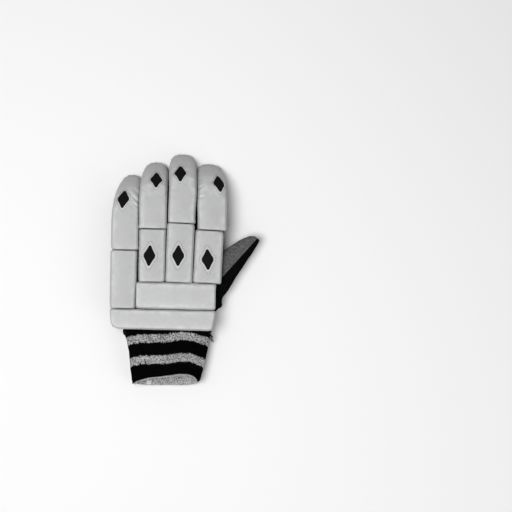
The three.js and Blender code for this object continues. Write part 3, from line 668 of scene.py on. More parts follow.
tip_leather = leather_material("tip_leather", 0.46)
bar_leather = leather_material("bar_leather", 0.51)
pad_leather = leather_material("pad_leather", 0.48)
strap_leather = leather_material("strap_leather", 0.47, 1.1)
# Paler than the rolls: a raw cut edge, and also a painted highlight
cut_edge_with_highlight = leather_material("cut_edge_with_highlight", 0.6, 0.6)
suede = suede_material("palm_suede", 0.2, 0.6)
web_suede = suede_material("web_suede", 0.1, 0.95, 0.1)
black_mesh = mesh_material("black_mesh")
knit = knit_material("striped_knit")
terry = terry_material("terry", 0.56)
inlay_leather = plain_material("inlay_leather", 0.0075, 0.8, 0.9, 0.05, 0.3, specular=0.1, ior=1.25)
thread = plain_material("thread", 0.05, 0.7, 0.3, 0.03, 0.2)
binding = plain_material("binding", 0.006, 0.85, 0.7, 0.08, 0.3, specular=0.1, ior=1.15)
piping = plain_material("piping", 0.2, 0.7, 0.8, 0.05, 0.2)
tab_cloth = plain_material("tab_cloth", 0.66, 0.8, 0.6, 0.05, 0.08)

# Padded pieces: the solids are remeshed, inflated as cloth and subdivided, then creased and seamed.
PADDED = [*(f"{f['name']}_{part}_roll" for f in FINGERS for part in ("tip", "knuckle")),
          "hand_bar", "wrist_bar", "thumb_tip_pad", "thumb_base_pad"]
VOXEL = 1.8
PRESSURE = 12
FRAMES = 20
SHRINK = 0.5  # of each form, before the pressure
SWELL = 1.3  # the most that the pressure moves a point
PROUD = 0.35  # of a side past its solid, near the top
BULGE = 0.9  # and further down
SEAM_LEFT_OPEN = 0.32  # on either side of a gap between two rolls

# Creases in plan: start and end pixels, width and depth
CREASES = {
    "little_tip_roll": [((130, 193), (139.5, 203), 1.3, 1.1), ((133, 203), (139.5, 208), 1.1, 0.8),
                        ((133, 188), (139, 194), 1.2, 0.5), ((128, 203), (134, 207), 1.6, 0.5)],
    "ring_tip_roll": [((138.5, 187), (146, 191), 1.4, 0.5), ((161, 197), (168, 193), 1.3, 0.6),
                      ((139.5, 204), (145, 206), 1.2, 0.4)],
    "middle_tip_roll": [((169, 188), (175, 190), 1.2, 0.5), ((169, 212), (173, 213), 1, 0.4)],
    "index_tip_roll": [((197, 190), (204, 185), 1.2, 0.9), ((197, 198), (205, 197), 1.2, 1.1),
                       ((197.5, 181), (201, 178), 1.3, 0.6)],
}

# Corners of rolls that stick out in small ears, or turn in: pixel, move to the right and up, and width
EARS = {
    "ring_tip_roll": [(141, 227.2, -1.9, -0.3, 1.9), (166.6, 228.2, 0.5, -0.4, 2)],
    "middle_tip_roll": [(196, 196, 0.7, 0, 11), (195, 222.4, 0.9, -0.5, 2.2), (170.5, 221.6, -0.5, -0.2, 2)],
    "little_tip_roll": [(138.5, 248.4, 0.7, -0.4, 2)],
    "index_tip_roll": [(198.5, 204, -0.7, 0, 12), (225.6, 229.8, 0.8, -0.7, 2.4), (199, 229, -0.6, -0.2, 2)],
    "ring_knuckle_roll": [(166, 231, 0.5, 0.5, 2), (141.2, 281, -0.5, -0.3, 2)],
    "middle_knuckle_roll": [(169.6, 225, -0.4, 0.5, 2), (192, 282, 0.4, -0.5, 2)],
    "index_knuckle_roll": [(221.2, 282.6, 0.5, -0.6, 2), (196.2, 281, -0.4, -0.4, 2)],
    "hand_bar": [(215.4, 285.4, 0.6, 0.4, 2.4), (137.8, 284, -0.4, 0.5, 2.4)],
    "wrist_bar": [(111.4, 329, 1.7, 1.9, 4.5)],
}

# Crossed tacks near the rolls' corners, by pixel
TACKS = {
    "little_tip_roll": [(137.6, 247.2)], "ring_tip_roll": [(164.4, 226.6), (141.6, 226.4)],
    "middle_tip_roll": [(193.6, 222.2)], "index_tip_roll": [(200.4, 228.6)],
    "hand_bar": [(139.6, 286), (213.6, 286.4)], "wrist_bar": [(212.2, 313)],
    "little_knuckle_roll": [(133.6, 304.6)], "ring_knuckle_roll": [(164, 279.4)],
    "middle_knuckle_roll": [(191.2, 280.6)], "index_knuckle_roll": [(219.8, 281)],
}

# Inlays sewn in slightly askew, in degrees
INLAY_TURN = {"little_tip_lozenge": 6, "ring_tip_lozenge": -8,
              "middle_tip_lozenge": 4, "index_tip_lozenge": 5}


def inlay_of(name):
    node = name.replace("_roll", "_lozenge").replace("_pad", "_lozenge")
    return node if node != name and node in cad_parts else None


def blank(name):
    """A roll's or pad's solid, its recess filled, remeshed finely enough for cloth."""
    nodes = [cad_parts[n] for n in (name, inlay_of(name)) if n]
    return remesh(joined(f"{name}_leather", nodes), VOXEL, smooth=2)


def inflate(objects):
    """Shrinks closed forms a little and swells them by cloth pressure, on undersides that hold still."""
    starts = {}
    for obj in objects:
        swell(obj, np.full(len(obj.data.vertices), -SHRINK))
        starts[obj], normals = points_and_normals(obj)
        down = np.clip(-normals[:, 2], 0, 1)
        held = obj.vertex_groups.new(name="held")
        for i in np.flatnonzero(down > 0.5):
            held.add([int(i)], float(down[i]), "REPLACE")
        cloth = obj.modifiers.new("Cloth", "CLOTH")
        cloth.settings.use_pressure = True
        cloth.settings.uniform_pressure_force = PRESSURE
        cloth.settings.vertex_group_mass = "held"
        cloth.settings.effector_weights.gravity = 0
        cloth.collision_settings.use_collision = False
        cloth.point_cache.frame_start, cloth.point_cache.frame_end = 1, FRAMES
    for number in range(1, FRAMES + 1):
        bpy.context.scene.frame_set(number)
    for obj in objects:
        bake(obj)
        moved = points_of(obj) - starts[obj]
        far = np.linalg.norm(moved, axis=1, keepdims=True)
        move_points(obj, starts[obj] + moved * np.minimum(1, SWELL / np.maximum(far, 1e-6)))
        obj.vertex_groups.clear()
    bpy.context.scene.frame_set(1)


def evened(obj, values, rounds=3):
    """Values at an object's points, averaged over its edges."""
    flat = np.empty(len(obj.data.edges) * 2, np.int32)
    obj.data.edges.foreach_get("vertices", flat)
    a, b = flat.reshape(-1, 2).T
    count = len(values)
    degree = np.bincount(a, minlength=count) + np.bincount(b, minlength=count)
    for _ in range(rounds):
        total = np.bincount(a, values[b], count) + np.bincount(b, values[a], count)
        values = 0.4 * values + 0.6 * total / np.maximum(degree, 1)
    return values


def push_together(obj, own, others):
    """Moves a roll's sides out to its solid and a little past it, and at most half way to the next roll."""
    points, normals = points_and_normals(obj)
    plan = normals * [1, 1, 0]
    side = np.linalg.norm(plan, axis=1)
    plan = unit(plan)
    low, high = points[:, 2].min(), points[:, 2].max()
    depth = smoothstep(0.85, 0.35, (points[:, 2] - low) / (high - low))
    grow = np.zeros(len(points))
    behind = 1.5
    for i in np.flatnonzero(side > 0.2):
        start, way = Vector((points[i] - behind * plan[i]) * MM), Vector(plan[i])
        _, _, _, reach = own.ray_cast(start, way, 6 * MM)
        reach = 0.6 if reach is None else reach / MM - behind
        _, _, _, gap = others.ray_cast(start, way, 12 * MM)
        grow[i] = reach + PROUD + (BULGE - PROUD) * depth[i]
        if gap is not None:
            grow[i] = min(grow[i], (reach + gap / MM - behind) / 2 - SEAM_LEFT_OPEN)
    grow = evened(obj, np.clip(grow, -0.6, 2.4))
    move_points(obj, points + plan * (grow * smoothstep(0.2, 0.75, side))[:, None])


def crease(points, normals, stroke):
    """How far points sink by one stroke, seen from above."""
    start, end, width, depth = stroke
    a, b = at_pixel(*start), at_pixel(*end)
    t = np.clip(((points[:, :2] - a) @ (b - a)) / ((b - a) @ (b - a)), 0, 1)
    away = np.linalg.norm(points[:, :2] - (a + t[:, None] * (b - a)), axis=1)
    trench = np.exp(-((away / width) ** 2)) - 0.35 * np.exp(-(((away - 2.2 * width) / width) ** 2))
    along = 0.35 + 0.65 * np.sin(np.pi * np.clip(t, 0.15, 1))
    return -depth * trench * np.clip(normals[:, 2] + 0.3, 0, 1) * along


def dress_padding(obj, name, seed):
    """Soft dents, puckered side seams, creases at the bends, painted shade on the sides and at the foot, and
    painted highlights along the top edges.
    """
    points, normals = points_and_normals(obj)
    low, high = points.min(0), points.max(0)
    level = (points[:, 2] - low[2]) / (high[2] - low[2])
    side = np.sqrt(np.clip(1 - normals[:, 2] ** 2, 0, 1))
    base = smoothstep(0.5, 0.0, level)
    run = points[:, 0] if "bar" in name else points[:, 1]
    pucker = np.sin(2 * np.pi * (run + 2.2 * wander(points, 11, seed + 5)) / 6.5)
    sink = 0.28 * wander(points, 19, seed) + 0.13 * pucker * side * (0.25 + 0.75 * base)
    if "roll" in name:
        sink += 0.1 * wander(points, 5, seed + 9) * side
    for stroke in CREASES.get(name, ()):
        sink += crease(points, normals, stroke)
    if "tip_roll" in name:
        under = smoothstep(high[1] - 44, high[1] - 16, points[:, 1]) * smoothstep(8, 2.5, points[:, 2])
        around = np.arctan2(points[:, 0] - (low[0] + high[0]) / 2, points[:, 1] - (high[1] - 24))
        sink += 0.35 * under * np.sin(around * 26)
    move = normals * (sink * smoothstep(0.2, 2.5, points[:, 2]))[:, None]
    for px, py, right, up, wide in EARS.get(name, ()):
        near = np.exp(-((points[:, :2] - at_pixel(px, py)) ** 2).sum(1) / (2 * wide**2))
        move[:, :2] += (near * smoothstep(0.2, 0.6, side))[:, None] * np.array([right, up])
    move_points(obj, points + move)
    # Painted shade: darker on the steep sides near the foot and along the foot, where the rolls meet and
    # shade each other
    grime_and_shade = smoothstep(0.75, 1, side) * (0.35 + 0.65 * base) + smoothstep(0.3, 0.05, level)
    store(obj, "grime_and_shade", np.clip(0.25 * grime_and_shade, 0, 1))
    # Painted highlight: lighter along the upper edges, where the top turns down into the sides
    edges = smoothstep(0.45, 0.75, level) * np.exp(-(((side - 0.5) / 0.24) ** 2))
    store(obj, "edge_highlight", edges * np.clip(0.75 + 0.6 * wander(points, 7, seed + 11), 0, 1))


def stitch(name, runs, tree, direction, slot="leather", length=1.4, pitch=2.5, thick=0.7, sink=0.12):
    """Sews short rounded threads along runs of points, laid on a surface."""
    forms = []
    turns = 2 * np.pi * np.arange(6)[:, None] / 6
    for run in runs:
        run = np.asarray(run, float)
        far = distances(run)
        count = max(1, int(round(far[-1] / pitch)))
        for i in range(count):
            middle = (i + 0.5) * far[-1] / count
            (a, up), (b, _) = (hit(tree, along_path(run, far, middle + half), direction)
                               for half in (-length / 2, length / 2))
            if a is None or b is None or np.linalg.norm(a - b) > 2.5 * length:
                continue
            side = unit(np.cross(unit(b - a), up))
            round_it = side * np.cos(turns) + up * 0.8 * np.sin(turns)
            forms.append([a + (b - a) * t - up * (sink if 0 < t < 1 else 0.25) + thick / 2 * share * round_it
                          for t, share in ((0, 0.35), (0.2, 1), (0.8, 1), (1, 0.35))])
    finish_piece(tubes(name, forms), thread, slot)


def lozenge_frame(node):
    """The middle of an inlay's face, and its across, long and outward directions, from its solid."""
    points = points_of(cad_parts[node])
    points = np.unique(points.round(3), axis=0)
    mean = points.mean(0)
    longest, across, out = np.linalg.svd(points - mean)[2]
    out = out * np.sign(out[2] * (-1 if "thumb" in node else 1))
    longest = longest * np.sign(longest[1])
    across = np.cross(longest, out)
    angle = math.radians(INLAY_TURN.get(node, 0))
    longest, across = (longest * math.cos(angle) + across * math.sin(angle),
                       across * math.cos(angle) - longest * math.sin(angle))
    half = (points - mean) @ np.stack([across, longest]).T
    middle = (half.min(0) + half.max(0)) / 2
    return mean + across * middle[0] + longest * middle[1], across, longest, out


def lozenge_outline(grow, per_side):
    """Corners of a lozenge with blunted sides, as in the part's source, with points between them."""
    w, h = LOZENGE["width"] / 2 + grow, LOZENGE["length"] / 2 + 1.8 * grow
    blunt = h * LOZENGE["blunt"]
    point = 1.3 + 0.2 * grow
    left = [[0, h], [-point, h - 0.4], [-0.62 * w, 0.48 * h], [-w, blunt], [-w, -blunt],
            [-0.62 * w, -0.48 * h], [-point, 0.4 - h]]
    corners = np.array(left + [[-x, -y] for x, y in left])
    return np.array([a + (b - a) * t / per_side for a, b in zip(corners, np.roll(corners, -1, 0))
                     for t in range(per_side)])


def set_inlay(obj, name, inlay):
    """Cuts a recess into a roll, and gives it its inlay, the pale cut edge round it with a painted highlight
    and painted shade on its upper side, and a row of stitches.
    """
    centre, *axes = lozenge_frame(inlay)
    out = axes[2]
    tree = surface(obj)
    tip = "tip" in name

    def on_face(ring, lift=0.0):
        found = []
        for u, v in ring:
            flat = centre + u * axes[0] + v * axes[1]
            where, _ = hit(tree, flat, -out)
            found.append((flat if where is None else where) + lift * out)
        return np.array(found)

    core = prism(f"{inlay}_leather", lozenge_outline(-0.1, 3), centre, axes, -3, 30)
    low = link("low", obj.data.copy())
    move_points(low, points_of(low) - LOZENGE["sink"] * out)
    cut(core, low, "INTERSECT")
    core.data.set_sharp_from_angle(angle=math.radians(40))
    finish_piece(core, inlay_leather, "inlay", inlay)
    rim = [on_face(lozenge_outline(grow, 3), lift) for grow, lift in
           ((0, -0.6), (0.0, 0.1), (0.3, 0.2), (0.9, 0.14), (1.3, -0.12))]
    edge = strip(f"{inlay}_edge", rim)
    # Painted shade: the cut edge is darker on its upper side, which is turned from the light
    shaded = lozenge_outline(0, 3) @ np.array([axes[0][:2], axes[1][:2]]) @ np.array([-0.45, 0.9])
    store(edge, "grime_and_shade", np.tile(smoothstep(-2, 4, shaded) * (0.85 if tip else 0.35), len(rim)))
    finish_piece(edge, cut_edge_with_highlight, "leather")
    seam = on_face(lozenge_outline(1.9 if tip else 2.9, 4))
    stitch(f"{inlay}_stitches", [[*seam, seam[0]]], tree, -out)
    tool = prism("recess", lozenge_outline(0, 3), centre, axes, -3.2, 30)
    cut(obj, tool)
    discard(low, tool)


paddings = {name: blank(name) for name in PADDED}
inflate(list(paddings.values()))
solids = {name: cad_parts[name] for name in PADDED}
for number, (name, obj) in enumerate(paddings.items()):
    subdivide(obj)
    others = joined("others", [solid for other, solid in solids.items() if other != name])
    push_together(obj, surface(solids[name]), surface(others))
    discard(others)
    dress_padding(obj, name, number)
    material = bar_leather if "bar" in name else pad_leather if "pad" in name else tip_leather
    if inlay_of(name):
        set_inlay(obj, name, inlay_of(name))
    obj.data.set_sharp_from_angle(angle=math.radians(60))
    finish_piece(obj, material, "leather", name, fill=0.85)

for name, places in TACKS.items():
    runs = []
    for x, y in (at_pixel(*place) for place in places):
        runs += [[(x - 0.6, y - 0.6 * way, 50), (x + 0.6, y + 0.6 * way, 50)] for way in (1, -1)]
    stitch(f"{name}_tacks", runs, surface(paddings[name]), (0, 0, -1), length=1.7, thick=0.4)

# A dashed line under each fingertip
for finger in FINGERS:
    tip = paddings[f"{finger['name']}_tip_roll"]
    (left, _, _), (right, far, _) = points_of(tip).min(0), points_of(tip).max(0)
    across = np.linspace(left + 3.5, right - 3.5, 16)
    bow = 1 - ((across - across.mean()) / (right - left) * 2) ** 2
    run = np.stack([across, far - 15 + 3 * bow, np.zeros(16)], axis=1)
    stitch(f"{finger['name']}_cap_stitches", [run], surface(tip), (0, 0, 1), thick=0.5, sink=0.2)


# The hand: one skin over the palm and the finger stalls, parted into suede below and mesh above
def palm_rings(count=72):
    rings = []
    for along in np.linspace(0, 1, 40):
        little, thumb, lift = section(PALM_SECTIONS, along)
        bottom = PALM_LIFT * lift
        x, z = rounded_box(count, ROW_WIDTH * little, ROW_WIDTH * (1 - thumb), bottom, BACK, 5, 3.4)
        rings.append(arched(x, np.full(count, WRIST_OVERLAP + along * PALM_LENGTH), z, bottom, BACK))
    return rings


def across_at(finger, y):
    past = y - finger["foot"]
    return finger["x"] + past * math.tan(math.radians(finger["lean"])) + sideways(finger, past)


def stall_half(finger, neighbour, s):
    """Half the width of a stall on one side, where it shares the space with its neighbour."""
    if neighbour is None:
        return finger["tip_width"] / 2 - STALL_INSET
    y = finger["foot"] + line_at(finger, s)[1]
    between = abs(across_at(neighbour, y) - across_at(finger, y))
    return between * finger["tip_width"] / (finger["tip_width"] + neighbour["tip_width"]) - STALL_GAP / 2


def stall_rings(finger, before, after):
    start = KNUCKLE_FOOT + PALM_REACH - STALL_ROOT - finger["foot"]
    end = finger["landing"] - STALL_SETBACK
    depth = HAND_DEPTH - arch_drop(finger["x"]) - STALL_STEP
    rings = []
    cap = end - STALL_CAP * np.array([0.8, 0.55, 0.35, 0.18, 0.07, 0])
    for s in [*np.linspace(start, end - STALL_CAP, 24), *cap]:
        share = fade(end - s, STALL_CAP, 0.35, 2.2)
        thinner = HAND_DEPTH * (1 - share)
        low, high = -CLEARANCE - depth + thinner * 0.45, -CLEARANCE - STALL_STEP - thinner * 0.2
        ring = rounded_box(48, -stall_half(finger, before, s) * share, stall_half(finger, after, s) * share,
                           low, high, 3.4, 2.8)
        rings.append(placed(off_line(finger, s, *ring), finger["turn"], finger["place"]))
    return rings


def over_seam(points):
    """Above zero where the hand is mesh, below it where it is suede."""
    hand = points - SHIFT
    value = np.maximum(hand[:, 2] - MESH_SEAM, MESH_BAND - hand[:, 0])
    value = np.where(hand[:, 1] < WRIST_OVERLAP + PALM_LENGTH, value, 99.0)
    for finger in FINGERS:
        local = unplaced(points, finger["turn"], finger["place"])
        s, height = along_line(finger, local)
        width = finger["tip_width"]
        edge = -width / 2 + MESH_BAND if finger is LITTLE else -width
        here = np.maximum(height + CLEARANCE + HAND_DEPTH * MESH_SHARE, edge - local[:, 0])
        near = (s > KNUCKLE_FOOT + PALM_REACH - finger["foot"] - 1.5) & (np.abs(local[:, 0]) < width / 2 + 2)
        value = np.where(near, np.minimum(value, here), value)
    return value


def parted(obj, value, names):
    """Splits a skin where value(points) changes sign, on a clean line, and gives each side."""
    made = []
    with editing(obj, write=False) as bm:
        middles = np.array([f.calc_center_median() for f in bm.faces]) / MM
        above = value(middles) > 0
        edge = sorted({v.index for e in bm.edges if len(e.link_faces) == 2
                       and above[e.link_faces[0].index] != above[e.link_faces[1].index] for v in e.verts})
        points = np.array([bm.verts[i].co for i in edge]) / MM
        normals = np.array([bm.verts[i].normal for i in edge])
        for _ in range(4):
            slope = np.stack([(value(points + d) - value(points - d)) / 0.2 for d in 0.1 * np.eye(3)], axis=1)
            slope -= (slope * normals).sum(1, keepdims=True) * normals
            size = np.maximum((slope**2).sum(1), 0.05)
            points = points - np.clip(value(points) / size, -0.6, 0.6)[:, None] * slope
        for i, p in zip(edge, points):
            bm.verts[i].co = Vector(p * MM)
        for side, name in zip((False, True), names):
            part = bm.copy()
            part.faces.ensure_lookup_table()
            bmesh.ops.delete(part, geom=[f for f in part.faces if above[f.index] != side], context="FACES")
            made.append(from_bmesh(name, part))
            made[-1].data.shade_smooth()
    discard(obj)
    return made


def skin(name, lofts, voxel, smooth):
    parts = [loft(f"{name}_{i}", rings) for i, rings in enumerate(lofts)]
    obj = joined(name, parts)
    discard(*parts)
    return remesh(obj, voxel, smooth)


def border_lines(obj, keep):
    """The open borders of a skin, as runs of evenly spaced points for which keep(points) is true."""
    after = {}
    with editing(obj, write=False) as bm:
        for edge in bm.edges:
            if len(edge.link_loops) == 1:
                loop = edge.link_loops[0]
                after[loop.vert.index] = loop.link_loop_next.vert.index
    places = points_of(obj)
    runs = []
    while after:
        start = next(iter(after))
        chain = [start]
        while chain[-1] in after:
            chain.append(after.pop(chain[-1]))
            if chain[-1] == start:
                break
        line = places[chain]
        good = keep(line)
        if good.all():
            runs.append(line)
            continue
        first = int(np.flatnonzero(~good)[0])
        line, good = np.roll(line[:-1], -first, 0), np.roll(good[:-1], -first)
        edges = np.flatnonzero(np.diff(np.concatenate([[0], good.astype(int), [0]])))
        runs += [line[a:b] for a, b in zip(edges[::2], edges[1::2])]
    lines = []
    for line in runs:
        far = distances(line)
        if far[-1] < 12:
            continue
        line = along_path(line, far, np.linspace(0, far[-1], max(6, int(far[-1] / 1.6))))
        for _ in range(3):
            line[1:-1] = 0.5 * line[1:-1] + 0.25 * (line[:-2] + line[2:])
        lines.append(line)
    return lines


SKIN_WALL = 1.3
THUMB_WALL = 1.2
SKIN_VOXEL = 1.5
THUMB_VOXEL = 1.1

# Folds of the palm suede, as seen from above: start and end pixels, width, depth
PALM_FOLDS = [
    ((142, 262), (154, 312), 2.4, 1.4), ((120, 240), (146, 243), 1.4, 1.1),
    ((144, 243), (168, 237.5), 1.4, 1.1), ((166, 237.5), (200, 241), 1.4, 1.0),
    ((150, 296), (172, 288), 2, 0.7), ((128, 304), (146, 296), 2.2, 0.8),
    ((152, 304), (164, 315), 2, 0.9), ((120, 281), (138, 284), 2, 0.5),
]
VENT_RADIUS = 1.1
VENTS = [(0.26, 0.7), (0.447, 0.668), (0.308, 0.583), (0.384, 0.553)]

stalls = [stall_rings(*three) for three in zip(FINGERS, [None, *FINGERS], [*FINGERS[1:], None])]
hand = skin("hand_skin", [palm_rings(), *stalls], SKIN_VOXEL, 3)
with editing(hand) as bm:
    open_end = [f for f in bm.faces if f.calc_center_median().y / MM < WRIST_EDGE + 1.2]
    bmesh.ops.delete(bm, geom=open_end, context="FACES")
points, normals = points_and_normals(hand)
sink = 0.35 * wander(points, 13, 31) + 0.18 * wander(points, 5, 33)
for stroke in PALM_FOLDS:
    sink += crease(points, np.abs(normals), stroke) * np.clip(-normals[:, 2], 0, 1)
swell(hand, sink)
store(hand, "grime_and_shade", np.clip(0.3 * wander(points_of(hand), 21, 35), 0, 1))
palm, back = parted(hand, over_seam, ("palm_suede", "back_mesh"))

seam_lines = border_lines(palm, lambda p: p[:, 1] > WRIST_EDGE + 3)
finish_piece(tube_along("hand_binding", seam_lines, 1.0), binding, "mesh")
little_side = []
for line in seam_lines:
    x, y, z = (line - SHIFT).T
    near = (x < MESH_BAND + 2.5) & (y > 14) & (y < PALM_LENGTH - 4) & (z < PALM_LIFT + 4)
    if near.sum() > 8:
        little_side.append(line[near] + np.array([-1.7, 0, -0.1]))
finish_piece(tube_along("side_piping", little_side, 0.45), piping, "suede")

for obj in (palm, back):
    thicken(obj, SKIN_WALL)
turns = 2 * np.pi * np.arange(16) / 16
ring = VENT_RADIUS * np.stack([np.cos(turns), np.sin(turns)], axis=1)
for across, along in VENTS:
    centre = SHIFT + [ROW_WIDTH * across, WRIST_OVERLAP + PALM_LENGTH * along, 0]
    punch = prism("punch", ring, centre, np.eye(3), 2, 20)
    cut(palm, punch)
    discard(punch)
names = [finger["name"] for finger in FINGERS]
finish_piece(palm, suede, "suede", "palm_leather", *(f"{name}_finger_suede" for name in names))
finish_piece(back, black_mesh, "mesh", "back_lining", *(f"{name}_finger_mesh" for name in names))

# The edge of the lining that shows beside the index knuckle
LINING_EDGE = [(py, 220.8, right) for py, right in
               ((234.5, 223.4), (237, 224), (243, 224), (249, 223.9), (252.5, 223.2))]
finish_piece(flap("lining_edge", LINING_EDGE, 17, 30, 3), binding, "mesh")


# The thumb
def thumb_rings(count=56):
    middle = PALM_LIFT + THUMB["depth"] / 2
    rings = []
    for along in [0.012, 0.016, 0.024, 0.035, *np.linspace(0.047, 1, 60)]:
        inner, outer, depth = section(THUMB_SECTIONS, along)
        half = THUMB["depth"] / 2 * depth
        x, z = rounded_box(count, -THUMB["width"] * inner, THUMB["width"] * outer,
                           middle - half, middle + half, 2.5, 3.2)
        y = np.full(count, -along * THUMB["length"])
        rings.append(placed(np.stack([x, y, z], axis=1), THUMB_TURN, THUMB_PLACE))
    return rings


def over_thumb_seam(points):
    local = unplaced(points, THUMB_TURN, THUMB_PLACE)
    return np.maximum(local[:, 0], PALM_LIFT + THUMB["wrap"] - local[:, 2])


thumb = skin("thumb_skin", [thumb_rings()], THUMB_VOXEL, 4)
points, normals = points_and_normals(thumb)
bump = np.exp(-(((points[:, :2] - at_pixel(221, 306)) ** 2).sum(1)) / 12)
sink = 0.3 * wander(points, 9, 41) + 0.12 * wander(points, 3, 43)
sink += 1.6 * bump * np.clip(1 - normals[:, 2] ** 2, 0, 1)
swell(thumb, sink)
web, gusset = parted(thumb, over_thumb_seam, ("thumb_web", "thumb_side"))
for obj, material, slot, node in ((web, web_suede, "suede", "thumb_suede"),
                                  (gusset, black_mesh, "mesh", "thumb_gusset")):
    thicken(obj, THUMB_WALL)
    finish_piece(obj, material, slot, node)

# The cuff, its lining and its rolled rim
CUFF_COLUMNS = 220
CUFF_ROWS = 96
RIB_PITCH = 2.5
KNIT_RELIEF = 0.6  # of the knit's wall, left to its ribs and folds
MOUTH_START = 0.55  # where the wave of the mouth begins, as a share of the length
# How far the stripes and the upper side of the mouth wave towards the hand, by pixel across, in pixels
WAVE_AT = [110, 126, 134, 140, 150, 160, 168, 173, 180, 188, 193, 200, 209, 216]
WAVE = [-3.2, -2.6, -0.4, 0.4, 0.3, 0.3, 0.9, 2.0, 2.9, 2.9, 1.6, -0.4, -2.6, -4]
MOUTH_WAVE = [-6, -6, -6, -5.2, -3.2, -2.3, -1.2, -0.5, 0.4, 0.4, -0.9, -5, -6, -6]


def cuff_ring(along, count, grow):
    """A section of the cuff grown by an amount, its points evenly spaced."""
    left, right, height = section(CUFF_SECTIONS, along)
    bottom, top = CUFF_LIFT - grow, CUFF_LIFT + CUFF["height"] * height + grow
    x, z = rounded_box(400, SEAM_LEFT + SEAM_SPAN * left - grow, SEAM_LEFT + SEAM_SPAN * (1 - right) + grow,
                       bottom, top, 3.6, 4)
    y = WRIST_SEAM - along * CUFF["length"] + CUFF["slant"] * along * (z - CUFF_LIFT) / CUFF["height"]
    ring = arched(x, y, z, bottom, top)
    shut = np.concatenate([ring, ring[:1]])
    far = distances(shut)
    return along_path(shut, far, np.linspace(0, far[-1], count, endpoint=False))


def cuff_tube(name, alongs, grow, count):
    """A tube over the cuff's sections, with how far along and how far round each point is."""
    rings = [cuff_ring(along, count, grow) for along in alongs]
    obj = strip(name, rings)
    store(obj, "along", np.repeat(alongs, count))
    perimeter = distances(np.concatenate([rings[0], rings[0][:1]]))[-1]
    store(obj, "around", np.tile(np.arange(count) / count * perimeter, len(alongs)))
    return obj, *points_and_normals(obj), stored(obj, "along")


def waved(points, wave):
    return np.interp(points[:, 0] / PIXEL + PHOTO_ORIGIN[0], WAVE_AT, wave) * PIXEL


def mouth_wave(points, along):
    """The upper side of the cuff's mouth, pulled towards the hand in a wave."""
    lift = waved(points, MOUTH_WAVE) * smoothstep(10, 22, points[:, 2]) * smoothstep(MOUTH_START, 1, along)
    return points + lift[:, None] * np.array([0, 1, 0])


def knit_cuff():
    obj, points, normals, along = cuff_tube("striped_cuff", np.linspace(0, 1, CUFF_ROWS), 0, CUFF_COLUMNS)
    wave = waved(points, WAVE) - waved(points, MOUTH_WAVE) * smoothstep(MOUTH_START, 1, along)
    store(obj, "stripe", along + wave / (CUFF["length"] - CUFF["slant"]))
    relief = 0.16 * np.cos(2 * np.pi * stored(obj, "around") / RIB_PITCH)
    relief += 0.55 * wander(points, 16, 51) + 0.22 * wander(points, 5, 53)
    relief = relief * smoothstep(0, 0.05, along) - 0.9 * smoothstep(0.94, 1, along)
    move_points(obj, mouth_wave(points + normals * relief[:, None], along))
    thicken(obj, KNIT_WALL - KNIT_RELIEF)
    return obj


def lining():
    inside = -KNIT_WALL - CLEARANCE - 0.2
    obj, points, normals, along = cuff_tube("terry_lining", np.linspace(0.02, 1, 80), inside, 180)
    pile = (0.35 * wander(points, 2.3, 55) + 0.4 * wander(points, 9, 57)) * smoothstep(1, 0.9, along)
    move_points(obj, mouth_wave(points + normals * pile[:, None], along))
    thicken(obj, LINING_WALL)
    return obj


def rolled_rim():
    """The lining's end, rolled over the mouth of the cuff."""
    count, sides = 240, 12
    ring = mouth_wave(cuff_ring(1.0, count, -2.6), np.ones(count))
    outward = unit((ring - ring.mean(0)) * [1, 0, 1])
    deep = smoothstep(14, 6, ring[:, 2])
    rows = []
    for k in range(sides):
        turn = 2 * math.pi * k / sides
        radius = 0.85 + 1.2 * deep + 0.2 * wander(ring, 9, 61) + 0.3 * wander(ring + k, 2.4, 63)
        way = math.cos(turn) * outward + math.sin(turn) * np.array([0, -1, 0])
        rows.append(ring + radius[:, None] * way)
    return mesh_object("terry_rim", np.concatenate(rows), loft_faces(sides, count, looped=True))


cuff = finish_piece(knit_cuff(), knit, "knit", "knit_cuff")
inner = finish_piece(lining(), terry, "lining", "cuff_lining")
finish_piece(rolled_rim(), terry, "lining")


# Trim: frayed folds of cloth, loose threads and the care tab
def frayed(obj, seed):
    points = points_of(obj)
    swell(obj, 0.5 * wander(points, 2.2, seed) + 0.25 * wander(points, 0.9, seed))
    return obj


def strand(points, sway, seed):
    """A loose thread end through a few points (pixel x, pixel y, height), with a little sway."""
    path = np.array([[*at_pixel(px, py), z] for px, py, z in points])
    fine = np.linspace(0, 1, 14)
    line = along_path(path, np.linspace(0, 1, len(path)), fine)
    line[:, 0] += sway * np.sin(fine * 5 + seed)
    return line


LEFT_FRAY = [(327.5, 124.5, 128), (329.5, 122.6, 127.5), (332, 122.4, 127.5), (334.6, 123, 128),
             (335.6, 124.8, 128)]
RIGHT_FRAY = [(327.5, 207, 210.2), (329.5, 207.5, 211.6), (332, 207.5, 211.2), (335, 206.5, 209.6)]
THREAD_ENDS = [
    ([(208.6, 334, 17), (211.6, 338, 16), (213.6, 342.6, 14)], 0.4, 1),
    ([(208.4, 335, 15), (210.6, 339, 15), (211.3, 342, 13)], 0.5, 3),
    ([(208, 331, 19), (210.8, 335, 18), (212.6, 337.6, 17)], 0.4, 2),
    ([(133.6, 379.6, 15), (132.4, 382, 13), (131.6, 384.4, 10)], 0.4, 4),
    ([(134.2, 380, 12), (133.6, 383, 9), (134.4, 384.6, 6)], 0.3, 5),
]
finish_piece(frayed(flap("left_fray", LEFT_FRAY, 13, 25, 2.6), 81), binding, "knit")
finish_piece(frayed(flap("right_fray", RIGHT_FRAY, 11, 24, 2.6), 83), binding, "knit")
ends = [strand(*end) for end in THREAD_ENDS]
finish_piece(tube_along("thread_ends", ends, 0.55, sides=6), binding, "knit")

